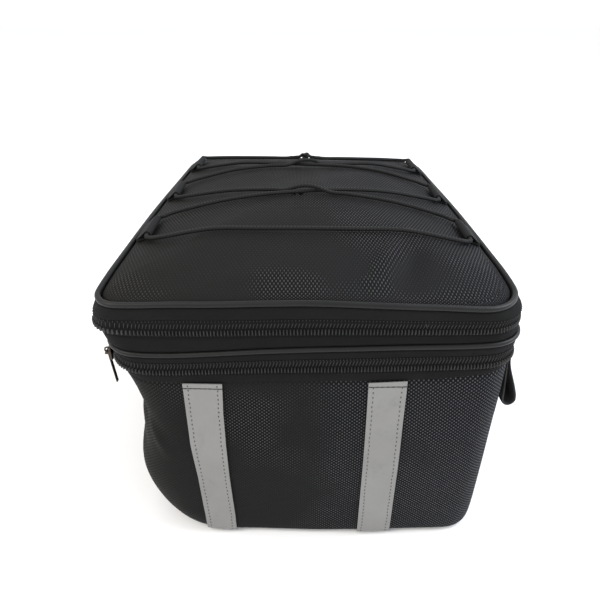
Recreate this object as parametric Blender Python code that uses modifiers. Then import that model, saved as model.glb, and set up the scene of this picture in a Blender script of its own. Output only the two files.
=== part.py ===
"""Soft inner bag for a motorcycle top case, standing on its flat base.

Metres, +Z up, the short near end towards -Y. The origin lies under the middle of the base.
A soft body carries a stack of bands, two coil zips and two pipings, and a domed lid on top
with an elastic cord laced through six webbing loops.
"""

import math

import bmesh
import bpy
from mathutils import Vector

# Plan of the bag at its widest, the lid
HALF_WIDTH = 0.128
HALF_DEPTH = 0.149
CORNER_RADIUS = 0.025
SIDE_BOW = 0.002
EDGE_RADIUS = 0.007

# Heights of the stack, from the base up
BODY_HEIGHT = 0.142
LOWER_BAND = 0.007
LOWER_ZIP = 0.010
EXPANSION_BAND = 0.0052
MIDDLE_BAND = 0.0069
UPPER_ZIP = 0.0115
LID_BAND = 0.0083
LID_RISE = 0.017

# Cloth, piping and the gap kept between neighbours
GAP = 0.0003
BODY_WALL = 0.002
BAND_WALL = 0.0016
ZIP_WALL = 0.0012
LID_WALL = 0.002
PIPING_DIAMETER = 0.0038
PIPING_INSET = 0.0005
COIL_HEIGHT = 0.0013
COIL_PLACE = 0.22
COIL_SHARE = 0.40

# Reflective tape on the near face
TAPE_WIDTH = 0.025
TAPE_THICKNESS = 0.001
TAPE_LEFT = -0.064
TAPE_RIGHT = 0.0483
TAPE_DROP = 0.0012

# Webbing loops for the elastic cord, a row of them down each side of the lid
CORD_DIAMETER = 0.003
LOOP_WIDTH = 0.030
LOOP_WALL = 0.001
LOOP_REACH = 0.014
LOOP_PITCH = 0.082
LOOP_FIRST = 0.094
LOOPS = 3

# Hanging webbing loop in the seam on the right, near the front corner
STRAP_WIDTH = 0.028
STRAP_WALL = 0.002
STRAP_DROP = 0.041
STRAP_BULGE = 0.0115
STRAP_PLACE = -0.116

# Zip slider with its ring and pull
SLIDER_LENGTH = 0.012
SLIDER_WIDTH = 0.009
SLIDER_WALL = 0.0015
SLIDER_PLACE = -0.126
UPPER_SLIDER_PLACE = 0.060
BRIDGE_WIRE = 0.0012
RING_WIRE = 0.0011
RING_BORE = 0.0013
PULL_WIDTH = 0.005
PULL_WALL = 0.0012
PULL_LENGTH = 0.023
PULL_LEAN = 0.0022

# Knot that closes the elastic cord at the far end of the lid
KNOT_LENGTH = 0.010
KNOT_RADIUS = 0.0042
KNOT_PLACE = 0.112
TAIL_LENGTH = 0.024

# How finely the round stretches are divided
SIDE_STEPS = 7
CORNER_STEPS = 5
TAPE_STEPS = 4
TUBE_RESOLUTION = 2

PIPING_RADIUS = PIPING_DIAMETER / 2
PIPING_SEAT = PIPING_RADIUS + GAP
ZIP2_FOOT = BODY_HEIGHT + LOWER_BAND
ZIP2_TOP = ZIP2_FOOT + LOWER_ZIP
PIPING2 = ZIP2_TOP + EXPANSION_BAND + PIPING_SEAT
ZIP1_FOOT = PIPING2 + PIPING_SEAT + MIDDLE_BAND
ZIP1_TOP = ZIP1_FOOT + UPPER_ZIP
LID_PIPING = ZIP1_TOP + LID_BAND + PIPING_SEAT

# Plan sections. level is a share of the lid piping's height; left, right and near are
# shares of the half width and half depth; the corners are shares of the corner radius
# for the near left, near right and far corners; taper narrows both sides to the far end.
SECTION_COLUMNS = ("level", "left", "right", "near", "near_left", "near_right", "far", "taper")
SECTION_ROWS = (
    (0.00, 0.905, 0.985, 1.008, 2.35, 1.00, 1.1, 0.05),
    (0.08, 0.940, 0.990, 1.010, 2.00, 0.95, 1.1, 0.05),
    (0.20, 0.975, 0.993, 1.005, 1.55, 0.92, 1.1, 0.05),
    (0.42, 0.918, 1.013, 1.000, 1.40, 0.95, 1.1, 0.06),
    (0.60, 0.897, 1.018, 0.996, 1.25, 1.00, 1.1, 0.07),
    (0.72, 0.950, 1.014, 0.987, 1.10, 1.00, 1.1, 0.08),
    (0.76, 0.964, 1.018, 0.985, 1.00, 1.00, 1.0, 0.09),
    (0.84, 0.980, 1.034, 0.990, 0.90, 1.00, 1.0, 0.09),
    (0.90, 1.016, 1.014, 0.984, 0.80, 1.05, 1.0, 0.09),
    (0.95, 1.012, 1.028, 0.994, 0.72, 1.08, 1.0, 0.09),
    (1.00, 0.974, 0.990, 0.990, 0.66, 1.12, 1.0, 0.09),
)
SECTIONS = tuple(dict(zip(SECTION_COLUMNS, row)) for row in SECTION_ROWS)

# How far each level of the stack hangs or climbs at the left and right side,
# as shares of the lower band's height: the soft stack doesn't lie level.
SKEW = (
    {"height": 0.0, "left": 0.0, "right": 0.0},
    {"height": 0.6 * BODY_HEIGHT, "left": 0.0, "right": 0.0},
    {"height": BODY_HEIGHT, "left": -0.07, "right": 0.72},
    {"height": ZIP2_FOOT, "left": -0.22, "right": 0.22},
    {"height": ZIP2_TOP, "left": -0.30, "right": 0.30},
    {"height": PIPING2 - PIPING_SEAT, "left": -0.42, "right": 0.30},
    {"height": PIPING2 + PIPING_SEAT, "left": -0.42, "right": 0.30},
    {"height": ZIP1_FOOT, "left": 0.0, "right": 0.0},
    {"height": ZIP1_TOP, "left": 0.0, "right": -0.14},
    {"height": LID_PIPING - PIPING_SEAT, "left": 0.0, "right": -0.50},
    {"height": LID_PIPING, "left": 0.0, "right": -0.50},
)

# Broad soft dents (+) and bulges (-) of the body: around is a share of the outline from the
# near left corner on, up a share of the body's height, depth a share of the side's bow.
DENTS = (
    {"around": 0.11, "up": 0.55, "depth": -1.5, "wide": 0.07, "tall": 0.30},
    {"around": 0.02, "up": 0.80, "depth": 1.2, "wide": 0.03, "tall": 0.14},
    {"around": 0.21, "up": 0.62, "depth": 1.0, "wide": 0.04, "tall": 0.22},
    {"around": 0.37, "up": 0.50, "depth": -2.0, "wide": 0.08, "tall": 0.30},
    {"around": 0.62, "up": 0.50, "depth": -1.5, "wide": 0.07, "tall": 0.30},
    {"around": 0.85, "up": 0.40, "depth": -1.8, "wide": 0.07, "tall": 0.28},
)

# Elastic cord: the loops it passes in turn, which way it runs through each (far to near or
# near to far), and whether the strand that follows lies over the one it crosses.
LACING = (
    {"side": -1, "number": 2, "toward": -1, "over": False},
    {"side": 1, "number": 1, "toward": -1, "over": False},
    {"side": -1, "number": 0, "toward": -1, "over": False},
    {"side": 1, "number": 0, "toward": 1, "over": True},
    {"side": -1, "number": 1, "toward": 1, "over": True},
    {"side": 1, "number": 2, "toward": 1, "over": False},
)

# The cord's bend outside a loop: out of the loop's end, in from its line, and the share of
# the loop's own height over the lid that it still has there.
CORD_BEND = (
    {"out": 0.0005, "inward": 0.0, "raised": 1.0},
    {"out": 0.0050, "inward": 0.0032, "raised": 0.6},
    {"out": 0.0090, "inward": 0.0140, "raised": 0.0},
)
CORD_REST = 0.0009
HUMP_LENGTH = 0.036

# Colour as linear RGB, roughness and metallic value of each finish
FINISHES = {
    "ballistic_cloth": ((0.016, 0.017, 0.018), 0.62, 0.0),
    "plain_cloth": ((0.013, 0.013, 0.013), 0.80, 0.0),
    "zip_tape": ((0.015, 0.015, 0.016), 0.66, 0.0),
    "piping": ((0.020, 0.020, 0.021), 0.35, 0.0),
    "reflective_tape": ((0.36, 0.355, 0.34), 0.45, 0.0),
    "webbing": ((0.015, 0.015, 0.015), 0.75, 0.0),
    "elastic": ((0.012, 0.012, 0.013), 0.70, 0.0),
    "slider_metal": ((0.25, 0.22, 0.19), 0.32, 1.0),
    "pull_cord": ((0.012, 0.012, 0.012), 0.60, 0.0),
}


def clear_scene():
    for obj in list(bpy.data.objects):
        bpy.data.objects.remove(obj, do_unlink=True)


def between(table, column, key, at):
    """The table's value at a key, on a smooth curve through its rows."""
    keys = [row[key] for row in table]
    values = [row[column] for row in table]
    at = min(max(at, keys[0]), keys[-1])
    last = len(keys) - 2
    i = min(max(k for k in range(len(keys)) if keys[k] <= at), last)

    def slope(k):
        low = max(k - 1, 0)
        high = min(k + 1, len(keys) - 1)
        return (values[high] - values[low]) / (keys[high] - keys[low])

    span = keys[i + 1] - keys[i]
    t = (at - keys[i]) / span
    start = (1 + 2 * t) * (1 - t) ** 2 * values[i] + t * (1 - t) ** 2 * span * slope(i)
    end = t * t * (3 - 2 * t) * values[i + 1] + t * t * (t - 1) * span * slope(i + 1)
    return start + end


def linear(table, column, key, at):
    """The table's value at a key, on straight runs between its rows."""
    at = min(max(at, table[0][key]), table[-1][key])
    for low, high in zip(table, table[1:]):
        if at <= high[key]:
            t = (at - low[key]) / (high[key] - low[key])
            return low[column] + t * (high[column] - low[column])
    return table[-1][column]


def skew(height, x):
    """How far the stack climbs or hangs at this height and place across."""
    side = x / HALF_WIDTH
    left = linear(SKEW, "left", "height", height) * LOWER_BAND
    right = linear(SKEW, "right", "height", height) * LOWER_BAND
    return (right - left) / 2 * side + (right + left) / 2 * side * side


def fillet(height):
    """How far the base's rounded edge draws the outline in."""
    if height >= EDGE_RADIUS:
        return 0.0
    return EDGE_RADIUS - math.sqrt(EDGE_RADIUS**2 - (EDGE_RADIUS - height) ** 2)


def outline(height, inset=0.0):
    """Points round the bag at one height, anticlockwise from the near side's left end."""
    level = height / LID_PIPING
    section = {name: between(SECTIONS, name, "level", level) for name in SECTIONS[0]}
    draw_in = inset + fillet(height)
    left = -section["left"] * HALF_WIDTH + draw_in
    right = section["right"] * HALF_WIDTH - draw_in
    near = -section["near"] * HALF_DEPTH + draw_in
    far = -near
    smallest = CORNER_RADIUS / 5
    radii = [
        max(section[name] * CORNER_RADIUS - draw_in, smallest)
        for name in ("near_right", "far", "far", "near_left")
    ]
    corners = ((right, near), (right, far), (left, far), (left, near))
    inward = ((-1, 1), (-1, -1), (1, -1), (1, 1))
    points = []
    for k in range(4):
        before = (k - 1) % 4
        start = Vector(corners[before])
        end = Vector(corners[k])
        along = (end - start).normalized()
        out = Vector((along.y, -along.x))
        start = start + along * radii[before]
        end = end - along * radii[k]
        for step in range(SIDE_STEPS):
            t = step / SIDE_STEPS
            bow = SIDE_BOW * math.sin(math.pi * t) ** 2
            points.append(start.lerp(end, t) + out * bow)
        centre = Vector(corners[k]) + Vector(inward[k]) * radii[k]
        first = math.atan2(out.y, out.x)
        for step in range(CORNER_STEPS):
            angle = first + math.pi / 2 * step / CORNER_STEPS
            points.append(centre + Vector((math.cos(angle), math.sin(angle))) * radii[k])
    for point in points:
        point.x *= 1 - section["taper"] * (point.y - near) / (far - near)
    return points


def normals(points):
    """The outward direction at each point of an outline."""
    count = len(points)
    found = []
    for i in range(count):
        along = points[(i + 1) % count] - points[i - 1]
        found.append(Vector((along.y, -along.x)).normalized())
    return found


def dent(share, height):
    """How far the body's cloth stands in at a share of the outline and a height."""
    total = 0.0
    for row in DENTS:
        away = abs(share - row["around"])
        away = min(away, 1 - away) / row["wide"]
        up = (height / BODY_HEIGHT - row["up"]) / row["tall"]
        total += row["depth"] * math.exp(-away * away - up * up)
    calm = min(1.0, height / (2 * EDGE_RADIUS)) * min(1.0, (BODY_HEIGHT - height) / EDGE_RADIUS)
    return total * SIDE_BOW * max(calm, 0.0)


def ring(height, out=0.0, dented=False):
    """Points in space round the bag at one height, moved out from its surface."""
    plan = outline(height)
    found = []
    for i, (point, normal) in enumerate(zip(plan, normals(plan))):
        move = out - (dent(i / len(plan), height) if dented else 0.0)
        x, y = point + normal * move
        found.append(Vector((x, y, height + skew(height, x))))
    return found


def material(name):
    found = bpy.data.materials.get(name)
    if found:
        return found
    colour, roughness, metallic = FINISHES[name]
    found = bpy.data.materials.new(name)
    found.use_nodes = True
    shader = found.node_tree.nodes["Principled BSDF"]
    shader.inputs["Base Color"].default_value = (*colour, 1.0)
    shader.inputs["Roughness"].default_value = roughness
    shader.inputs["Metallic"].default_value = metallic
    found.diffuse_color = (*colour, 1.0)
    return found


def add_mesh(name, bm, finish, collection):
    mesh = bpy.data.meshes.new(name)
    bm.to_mesh(mesh)
    bm.free()
    mesh.shade_smooth()
    mesh.set_sharp_from_angle(angle=math.radians(40))
    obj = bpy.data.objects.new(name, mesh)
    obj.data.materials.append(material(finish))
    collection.objects.link(obj)
    return obj


def solidify(obj, thickness, offset=-1.0):
    wall = obj.modifiers.new("wall", "SOLIDIFY")
    wall.thickness = thickness
    wall.offset = offset
    wall.use_even_offset = True
    return wall


def skin(bm, rows, closed=True):
    """Faces between rows of points of the same count; returns the rows of vertices."""
    made = [[bm.verts.new(point) for point in row] for row in rows]
    for low, high in zip(made, made[1:]):
        join(bm, low, high, closed)
    return made


def join(bm, low, high, closed=True):
    count = len(low)
    for i in range(count if closed else count - 1):
        j = (i + 1) % count
        bm.faces.new((low[i], low[j], high[j], high[i]))


def band(name, rows, wall, finish, collection, first=0, last=None):
    """A cloth wall through rows of (height, distance out), all round or over a run of points.

    Its inner face lies level with the outer one, so that its edges stay square to its neighbours.
    """
    outer = [ring(height, out) for height, out in rows]
    inner = [ring(height, out - wall) for height, out in reversed(rows)]
    rings = outer + inner
    closed = last is None
    if not closed:
        count = len(rings[0])
        run = [k % count for k in range(first, last + 1)]
        rings = [trimmed([points[k] for k in run]) for points in rings]
    bm = bmesh.new()
    made = skin(bm, rings, closed)
    join(bm, made[-1], made[0], closed)
    if not closed:
        bm.faces.new([row[0] for row in made])
        bm.faces.new([row[-1] for row in reversed(made)])
    add_mesh(name, bm, finish, collection)


def trimmed(points):
    """An open run shortened by half a gap at each end."""
    points[0] = points[0] + (points[1] - points[0]).normalized() * GAP / 2
    points[-1] = points[-1] + (points[-2] - points[-1]).normalized() * GAP / 2
    return points


def zip_rows(foot, top):
    """Rows of a zip from its foot to its top: flat tape with the coil standing out."""
    tall = top - foot - GAP
    base = foot + GAP / 2
    middle = COIL_PLACE * tall
    half = COIL_SHARE * tall / 2
    slope = COIL_HEIGHT / 2
    return (
        (base, 0.0),
        (base + max(middle - half, 0.1 * middle), COIL_HEIGHT / 3),
        (base + max(middle - half, 0.1 * middle) + slope, COIL_HEIGHT),
        (base + middle + half - slope, COIL_HEIGHT),
        (base + middle + half, 0.0),
        (base + tall, 0.0),
    )


def tube(name, points, diameter, finish, collection, closed=False, radii=None):
    curve = bpy.data.curves.new(name, "CURVE")
    curve.dimensions = "3D"
    curve.bevel_depth = diameter / 2
    curve.bevel_resolution = TUBE_RESOLUTION
    curve.use_fill_caps = not closed
    spline = curve.splines.new("POLY")
    spline.points.add(len(points) - 1)
    for i, point in enumerate(points):
        spline.points[i].co = (*point, 1.0)
        if radii:
            spline.points[i].radius = radii[i]
    spline.use_cyclic_u = closed
    obj = bpy.data.objects.new(name, curve)
    curve.materials.append(material(finish))
    collection.objects.link(obj)
    return obj


def body_heights():
    """Heights of the body's rows: round the base's edge, then up the wall."""
    edge = [EDGE_RADIUS * (1 - math.sin(math.radians(turn))) for turn in (90, 60, 30, 0)]
    top = BODY_HEIGHT - GAP / 2
    shares = (0.15, 0.32, 0.48, 0.62, 0.76, 0.90, 1.0)
    return edge + [top * share for share in shares if top * share > 1.3 * EDGE_RADIUS]


def build_body(collection):
    """The open-topped body: walls, rounded edge and flat base in one cloth shell."""
    outer = [ring(height, dented=True) for height in body_heights()]
    inner = [ring(height, -BODY_WALL, dented=True) for height in reversed(body_heights()[2:])]
    bm = bmesh.new()
    rows = skin(bm, outer + inner)
    bm.faces.new(list(reversed(rows[0])))
    bm.faces.new(rows[-1])
    bmesh.ops.recalc_face_normals(bm, faces=bm.faces)
    add_mesh("body_shell", bm, "ballistic_cloth", collection)


def near_face(x, height, about):
    """How far the near side stands out round a place across it, on the ring at a height."""
    plan = ring(height, dented=True)
    found = []
    for a, b in zip(plan, plan[1:] + plan[:1]):
        for at in (x - about, x, x + about):
            if a.y < 0 and b.y < 0 and a.x != b.x and min(a.x, b.x) <= at <= max(a.x, b.x):
                found.append(a.y + (at - a.x) / (b.x - a.x) * (b.y - a.y))
    return min(found)


def build_tape(name, centre, collection):
    """One upright of reflective tape, lying on the near face down to the base's edge."""
    top = BODY_HEIGHT - TAPE_DROP
    heights = body_heights()
    rows = []
    for below, height in zip(heights[1:], heights[2:]):
        row = []
        for k in range(TAPE_STEPS + 1):
            x = centre + TAPE_WIDTH * (k / TAPE_STEPS - 0.5)
            y = near_face(x, height, TAPE_WIDTH / TAPE_STEPS)
            at = height
            if height > top:
                share = (top - below) / (height - below)
                y = near_face(x, below, TAPE_WIDTH / TAPE_STEPS) * (1 - share) + y * share
                at = top
            row.append(Vector((x, y - GAP - TAPE_THICKNESS, at + skew(at, x))))
        rows.append(row)
    bm = bmesh.new()
    skin(bm, rows, closed=False)
    tape = add_mesh(name, bm, "reflective_tape", collection)
    solidify(tape, TAPE_THICKNESS)


def lid_rim():
    """The lid panel's edge, just inside the lid piping."""
    return outline(LID_PIPING, inset=PIPING_INSET + PIPING_RADIUS + GAP)


def lid_middle():
    rim = lid_rim()
    return Vector(
        (
            (min(p.x for p in rim) + max(p.x for p in rim)) / 2,
            (min(p.y for p in rim) + max(p.y for p in rim)) / 2,
        )
    )


def dome(share):
    """The lid's rise over its rim, from 0 at the rim to 1 at the middle."""
    return LID_RISE * (1 - (1 - share) ** 2.4)


def lid_point(edge, share):
    """A point of the lid on the line from a rim point to the middle."""
    middle = lid_middle()
    x, y = middle + (edge - middle) * (1 - share)
    tilt = skew(LID_PIPING, edge.x) * (1 - share) ** 2
    return Vector((x, y, LID_PIPING + PIPING_RADIUS / 2 + dome(share) + tilt))


def lid_surface(x, y):
    """The lid's height and its share inward at a place seen from above."""
    rim = lid_rim()
    middle = lid_middle()
    place = Vector((x, y)) - middle
    reach = 1e9
    edge = rim[0]
    for a, b in zip(rim, rim[1:] + rim[:1]):
        side = b - a
        cross = place.x * side.y - place.y * side.x
        if abs(cross) < 1e-12:
            continue
        toward = a - middle
        along = (toward.x * side.y - toward.y * side.x) / cross
        on = (toward.x * place.y - toward.y * place.x) / cross
        if along > 0 and -1e-9 <= on <= 1 + 1e-9 and along < reach:
            reach = along
            edge = a + side * on
    share = max(0.0, 1 - 1 / reach)
    return lid_point(edge, share).z


def build_lid(collection):
    """The domed lid panel, an open shell inside the lid piping."""
    rim = lid_rim()
    foot = [
        Vector((p.x, p.y, LID_PIPING - PIPING_RADIUS / 2 + skew(LID_PIPING, p.x))) for p in rim
    ]
    rows = [foot]
    for share in (0.012, 0.06, 0.14, 0.27, 0.44, 0.66, 0.90):
        rows.append([lid_point(p, share) for p in rim])
    bm = bmesh.new()
    made = skin(bm, rows)
    bm.faces.new(made[-1])
    lid = add_mesh("lid_panel", bm, "ballistic_cloth", collection)
    solidify(lid, LID_WALL)


def build_piping(name, height, collection):
    points = ring(height, -PIPING_INSET)
    tube(name, points, PIPING_DIAMETER, "piping", collection, closed=True)


def build_stack(collection):
    """Bands, zips and pipings between the body and the lid panel."""
    half = GAP / 2
    count = len(outline(0.0))
    band(
        "lower_band",
        ((BODY_HEIGHT + half, 0.0), (ZIP2_FOOT - half, 0.0)),
        BAND_WALL,
        "plain_cloth",
        collection,
    )
    band("lower_zip", zip_rows(ZIP2_FOOT, ZIP2_TOP), ZIP_WALL, "zip_tape", collection)
    band(
        "expansion_band",
        ((ZIP2_TOP + half, 0.0), (PIPING2 - PIPING_SEAT, 0.0)),
        BAND_WALL,
        "plain_cloth",
        collection,
    )
    build_piping("lower_piping", PIPING2, collection)
    band(
        "middle_band",
        ((PIPING2 + PIPING_SEAT, 0.0), (ZIP1_FOOT - half, 0.0)),
        BAND_WALL,
        "plain_cloth",
        collection,
    )
    # The zip runs round the left, near and right sides; plain cloth hinges the lid at the back.
    steps = SIDE_STEPS + CORNER_STEPS
    hinge_first = 2 * steps
    hinge_last = 2 * steps + SIDE_STEPS
    band(
        "upper_zip",
        zip_rows(ZIP1_FOOT, ZIP1_TOP),
        ZIP_WALL,
        "zip_tape",
        collection,
        first=hinge_last,
        last=hinge_first + count,
    )
    band(
        "lid_hinge",
        tuple((height, 0.0) for height, _ in zip_rows(ZIP1_FOOT, ZIP1_TOP)),
        BAND_WALL,
        "plain_cloth",
        collection,
        first=hinge_first,
        last=hinge_last,
    )
    band(
        "lid_band",
        (
            (ZIP1_TOP + half, 0.0),
            (ZIP1_TOP + LID_BAND / 2, 0.0),
            (LID_PIPING - PIPING_SEAT, 0.0),
        ),
        BAND_WALL,
        "plain_cloth",
        collection,
    )
    build_piping("lid_piping", LID_PIPING, collection)


def ribbon(name, path, axis, width, wall, finish, collection):
    """A strap of one width that follows a path, its width along an axis on both sides of it."""
    half = axis.normalized() * width / 2
    bm = bmesh.new()
    skin(bm, [[point - half, point + half] for point in path], closed=False)
    bmesh.ops.recalc_face_normals(bm, faces=bm.faces)
    obj = add_mesh(name, bm, finish, collection)
    solidify(obj, wall, offset=0.0)
    return obj


def side_x(height, y, side, dented=False):
    """Where the bag's surface is on its left (-1) or right (+1) side at a place along it."""
    plan = ring(height, dented=dented)
    best = 0.0
    for a, b in zip(plan, plan[1:] + plan[:1]):
        if min(a.y, b.y) <= y <= max(a.y, b.y) and a.y != b.y:
            x = a.x + (y - a.y) / (b.y - a.y) * (b.x - a.x)
            best = max(best, side * x)
    return side * best


def loop_place(side, number):
    """A webbing loop's places: along the bag, its root across, and the middle of its fold."""
    y = -HALF_DEPTH + LOOP_FIRST + LOOP_PITCH * number
    edge = side * side_x(LID_PIPING, y, side)
    root = edge - PIPING_INSET - PIPING_DIAMETER - GAP
    reach = edge - LOOP_REACH
    step = CORD_DIAMETER
    here = Vector((side * reach, y, loop_floor(side * reach, y)))
    inward = Vector((side * (reach - step), y, loop_floor(side * (reach - step), y)))
    out = (here - inward).normalized()
    up = Vector((side * abs(out.z), 0.0, abs(out.x)))
    low = GAP + LOOP_WALL / 2
    fold = CORD_DIAMETER / 2 + GAP + LOOP_WALL / 2
    return {
        "y": y,
        "root": side * root,
        "ease": side * (0.7 * root + 0.3 * reach),
        "low": low,
        "fold": fold,
        "out": out,
        "up": up,
        "middle": here + up * (low + fold + GAP),
    }


def loop_floor(x, y):
    """The highest the lid stands under a loop's width at a place across."""
    half = LOOP_WIDTH / 2
    return max(lid_surface(x, y + shift) for shift in (-half, -half / 2, 0.0, half / 2, half))


def build_cord_loop(side, number, collection):
    """A webbing loop sewn in at the lid piping, folded round the elastic cord."""
    at = loop_place(side, number)

    def flat(x, above):
        return Vector((x, at["y"], loop_floor(x, at["y"]) + above))

    path = [flat(at["root"], at["low"]), flat(at["ease"], at["low"])]
    for k in range(8):
        turn = math.radians(-90 - 200 * k / 7)
        spoke = at["out"] * math.cos(turn) + at["up"] * math.sin(turn)
        path.append(at["middle"] + spoke * at["fold"])
    path.append(flat(at["ease"], at["low"] + 2 * LOOP_WALL))
    path.append(flat(at["root"], at["low"] + LOOP_WALL + GAP))
    name = "cord_loop_" + ("left" if side < 0 else "right") + "_" + str(number + 1)
    ribbon(name, path, Vector((0, 1, 0)), LOOP_WIDTH, LOOP_WALL, "webbing", collection)


def cord_height(x, y):
    return lid_surface(x, y) + CORD_REST + CORD_DIAMETER / 2


def cord_pass(row):
    """The cord's points through one loop, in the order that the cord runs."""
    at = loop_place(row["side"], row["number"])
    points = [bend_point(row, at, bend, -row["toward"]) for bend in reversed(CORD_BEND)]
    return points + [bend_point(row, at, bend, row["toward"]) for bend in CORD_BEND]


def bend_point(row, at, bend, end):
    x = at["middle"].x - row["side"] * bend["inward"]
    y = at["y"] + end * (LOOP_WIDTH / 2 + bend["out"])
    rest = cord_height(x, y)
    return Vector((x, y, rest + (at["middle"].z - rest) * bend["raised"]))


def crossing(a, b, c, d):
    """How far along a to b the line is crossed by c to d, seen from above."""
    one = (b - a).to_2d()
    two = (d - c).to_2d()
    gap = (c - a).to_2d()
    cross = one.x * two.y - one.y * two.x
    return (gap.x * two.y - gap.y * two.x) / cross


def strand(a, b, under=None):
    """Points between two ends over the lid, with a low hump over a strand that lies under."""
    length = (b - a).to_2d().length
    shares = [k / 6 for k in range(1, 6)]
    middle = 0.5
    if under:
        middle = crossing(a, b, *under)
        spread = HUMP_LENGTH / 2 / length
        shares = [s for s in shares if abs(s - middle) > 1.6 * spread]
        shares += [middle + spread * step for step in (-1, -0.3, 0.3, 1)]
    points = []
    for share in sorted(shares):
        point = a.lerp(b, share)
        point.z = cord_height(point.x, point.y)
        if under:
            away = abs(share - middle) / spread
            if away < 0.99:
                point.z += CORD_DIAMETER + 2 * GAP
        points.append(point)
    return points


def cord_route():
    """The cord from its knot through every loop and back, as a smooth line of points."""
    passes = [cord_pass(row) for row in LACING]
    knot = KNOT_LENGTH / 2
    first = Vector((-knot, KNOT_PLACE, cord_height(-knot, KNOT_PLACE) + KNOT_RADIUS / 3))
    last = Vector((knot, KNOT_PLACE, cord_height(knot, KNOT_PLACE) + KNOT_RADIUS / 3))
    points = [first] + strand(first, passes[0][0])
    for k, row in enumerate(LACING[:-1]):
        under = None
        if row["over"]:
            partner = len(LACING) - 2 - k
            under = (passes[partner][-1], passes[partner + 1][0])
        points += passes[k] + strand(passes[k][-1], passes[k + 1][0], under)
    points += passes[-1] + strand(passes[-1][-1], last) + [last]
    return points


def build_cord(collection):
    """The elastic cord, laced over the lid and closed by a knot at the far end."""
    tube("lid_cord", cord_route(), CORD_DIAMETER, "elastic", collection)
    centre = Vector((0.0, KNOT_PLACE, lid_surface(0.0, KNOT_PLACE) + GAP + KNOT_RADIUS))
    bm = bmesh.new()
    bmesh.ops.create_uvsphere(bm, u_segments=12, v_segments=8, radius=KNOT_RADIUS)
    bmesh.ops.scale(bm, vec=(1.0, 1.0, KNOT_LENGTH / 2 / KNOT_RADIUS - 0.1), verts=bm.verts)
    knot = add_mesh("cord_knot", bm, "elastic", collection)
    knot.location = centre
    knot.rotation_euler = (0.0, math.pi / 2, 0.0)
    for side, word in ((-1, "left"), (1, "right")):
        build_tail(centre, side, word, collection)


def build_tail(centre, side, word, collection):
    """A short free end of the cord, from the knot down to its rest on the lid."""
    radius = CORD_DIAMETER / 2
    start = centre + Vector((side * KNOT_LENGTH / 4, KNOT_RADIUS + radius + GAP, 0.0))
    end = start + Vector((side * TAIL_LENGTH / 2, TAIL_LENGTH * 0.5, 0.0))
    path = []
    for k in range(7):
        t = k / 6
        point = start.lerp(end, t)
        rest = cord_height(point.x, point.y)
        point.z = rest + max(0.0, centre.z - rest) * (1 - min(1.0, 2 * t)) ** 2
        path.append(point)
    tube("cord_tail_" + word, path, CORD_DIAMETER, "elastic", collection)


def build_strap_loop(collection):
    """A folded webbing loop that hangs from the seam on the right side."""
    side = max(
        side_x(BODY_HEIGHT * share, STRAP_PLACE + shift, 1, dented=True)
        for share in (0.72, 0.78, 0.84, 0.90, 1.0)
        for shift in (-STRAP_WIDTH / 2, 0.0, STRAP_WIDTH / 2)
    )
    inner = side + GAP + STRAP_WALL / 2
    top = BODY_HEIGHT + skew(BODY_HEIGHT, HALF_WIDTH) - GAP
    radius = (STRAP_BULGE - STRAP_WALL) / 2
    low = top - STRAP_DROP + STRAP_WALL / 2 + radius
    middle = inner + radius + STRAP_WALL / 2
    path = [
        Vector((inner, STRAP_PLACE, top)),
        Vector((inner, STRAP_PLACE, top - 0.35 * STRAP_DROP)),
    ]
    for k in range(9):
        turn = math.radians(180 + 180 * k / 8 * 1.06)
        path.append(
            Vector((middle + radius * math.cos(turn), STRAP_PLACE, low + radius * math.sin(turn)))
        )
    path.append(Vector((inner + radius * 1.55, STRAP_PLACE, top - 0.42 * STRAP_DROP)))
    path.append(Vector((inner + STRAP_WALL + 2 * GAP, STRAP_PLACE, top - 0.10 * STRAP_DROP)))
    path.append(Vector((inner + STRAP_WALL + GAP, STRAP_PLACE, top)))
    ribbon("strap_loop", path, Vector((0, 1, 0)), STRAP_WIDTH, STRAP_WALL, "webbing", collection)


def coil_height(foot, tall):
    return foot + GAP / 2 + COIL_PLACE * (tall - GAP)


def slider_seat(foot, tall, y):
    """What a slider on the left side sits against, and its height."""
    height = coil_height(foot, tall)
    reach = SLIDER_WIDTH / 2
    spots = [y + SLIDER_LENGTH * k / 4 for k in range(-2, 3)]
    half = COIL_SHARE * tall / 2
    coil = min(side_x(height + rise, y_at, -1) for y_at in spots for rise in (-half, half))
    tape = min(side_x(height + rise, y_at, -1) for y_at in spots for rise in (-reach, reach))
    return min(coil - COIL_HEIGHT, tape), height + skew(height, coil)


def box(bm, low, high):
    size = [b - a for a, b in zip(low, high)]
    middle = [(a + b) / 2 for a, b in zip(low, high)]
    made = bmesh.ops.create_cube(bm, size=1.0)["verts"]
    bmesh.ops.scale(bm, vec=size, verts=made)
    bmesh.ops.translate(bm, vec=middle, verts=made)
    return made


def union(obj, other):
    """Joins a second object into the first and removes it."""
    join = obj.modifiers.new("join", "BOOLEAN")
    join.operation = "UNION"
    join.object = other
    bpy.context.view_layer.update()
    seen = obj.evaluated_get(bpy.context.evaluated_depsgraph_get())
    mesh = bpy.data.meshes.new_from_object(seen)
    obj.modifiers.remove(join)
    old = obj.data
    obj.data = mesh
    bpy.data.meshes.remove(old)
    bpy.data.objects.remove(other, do_unlink=True)


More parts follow.
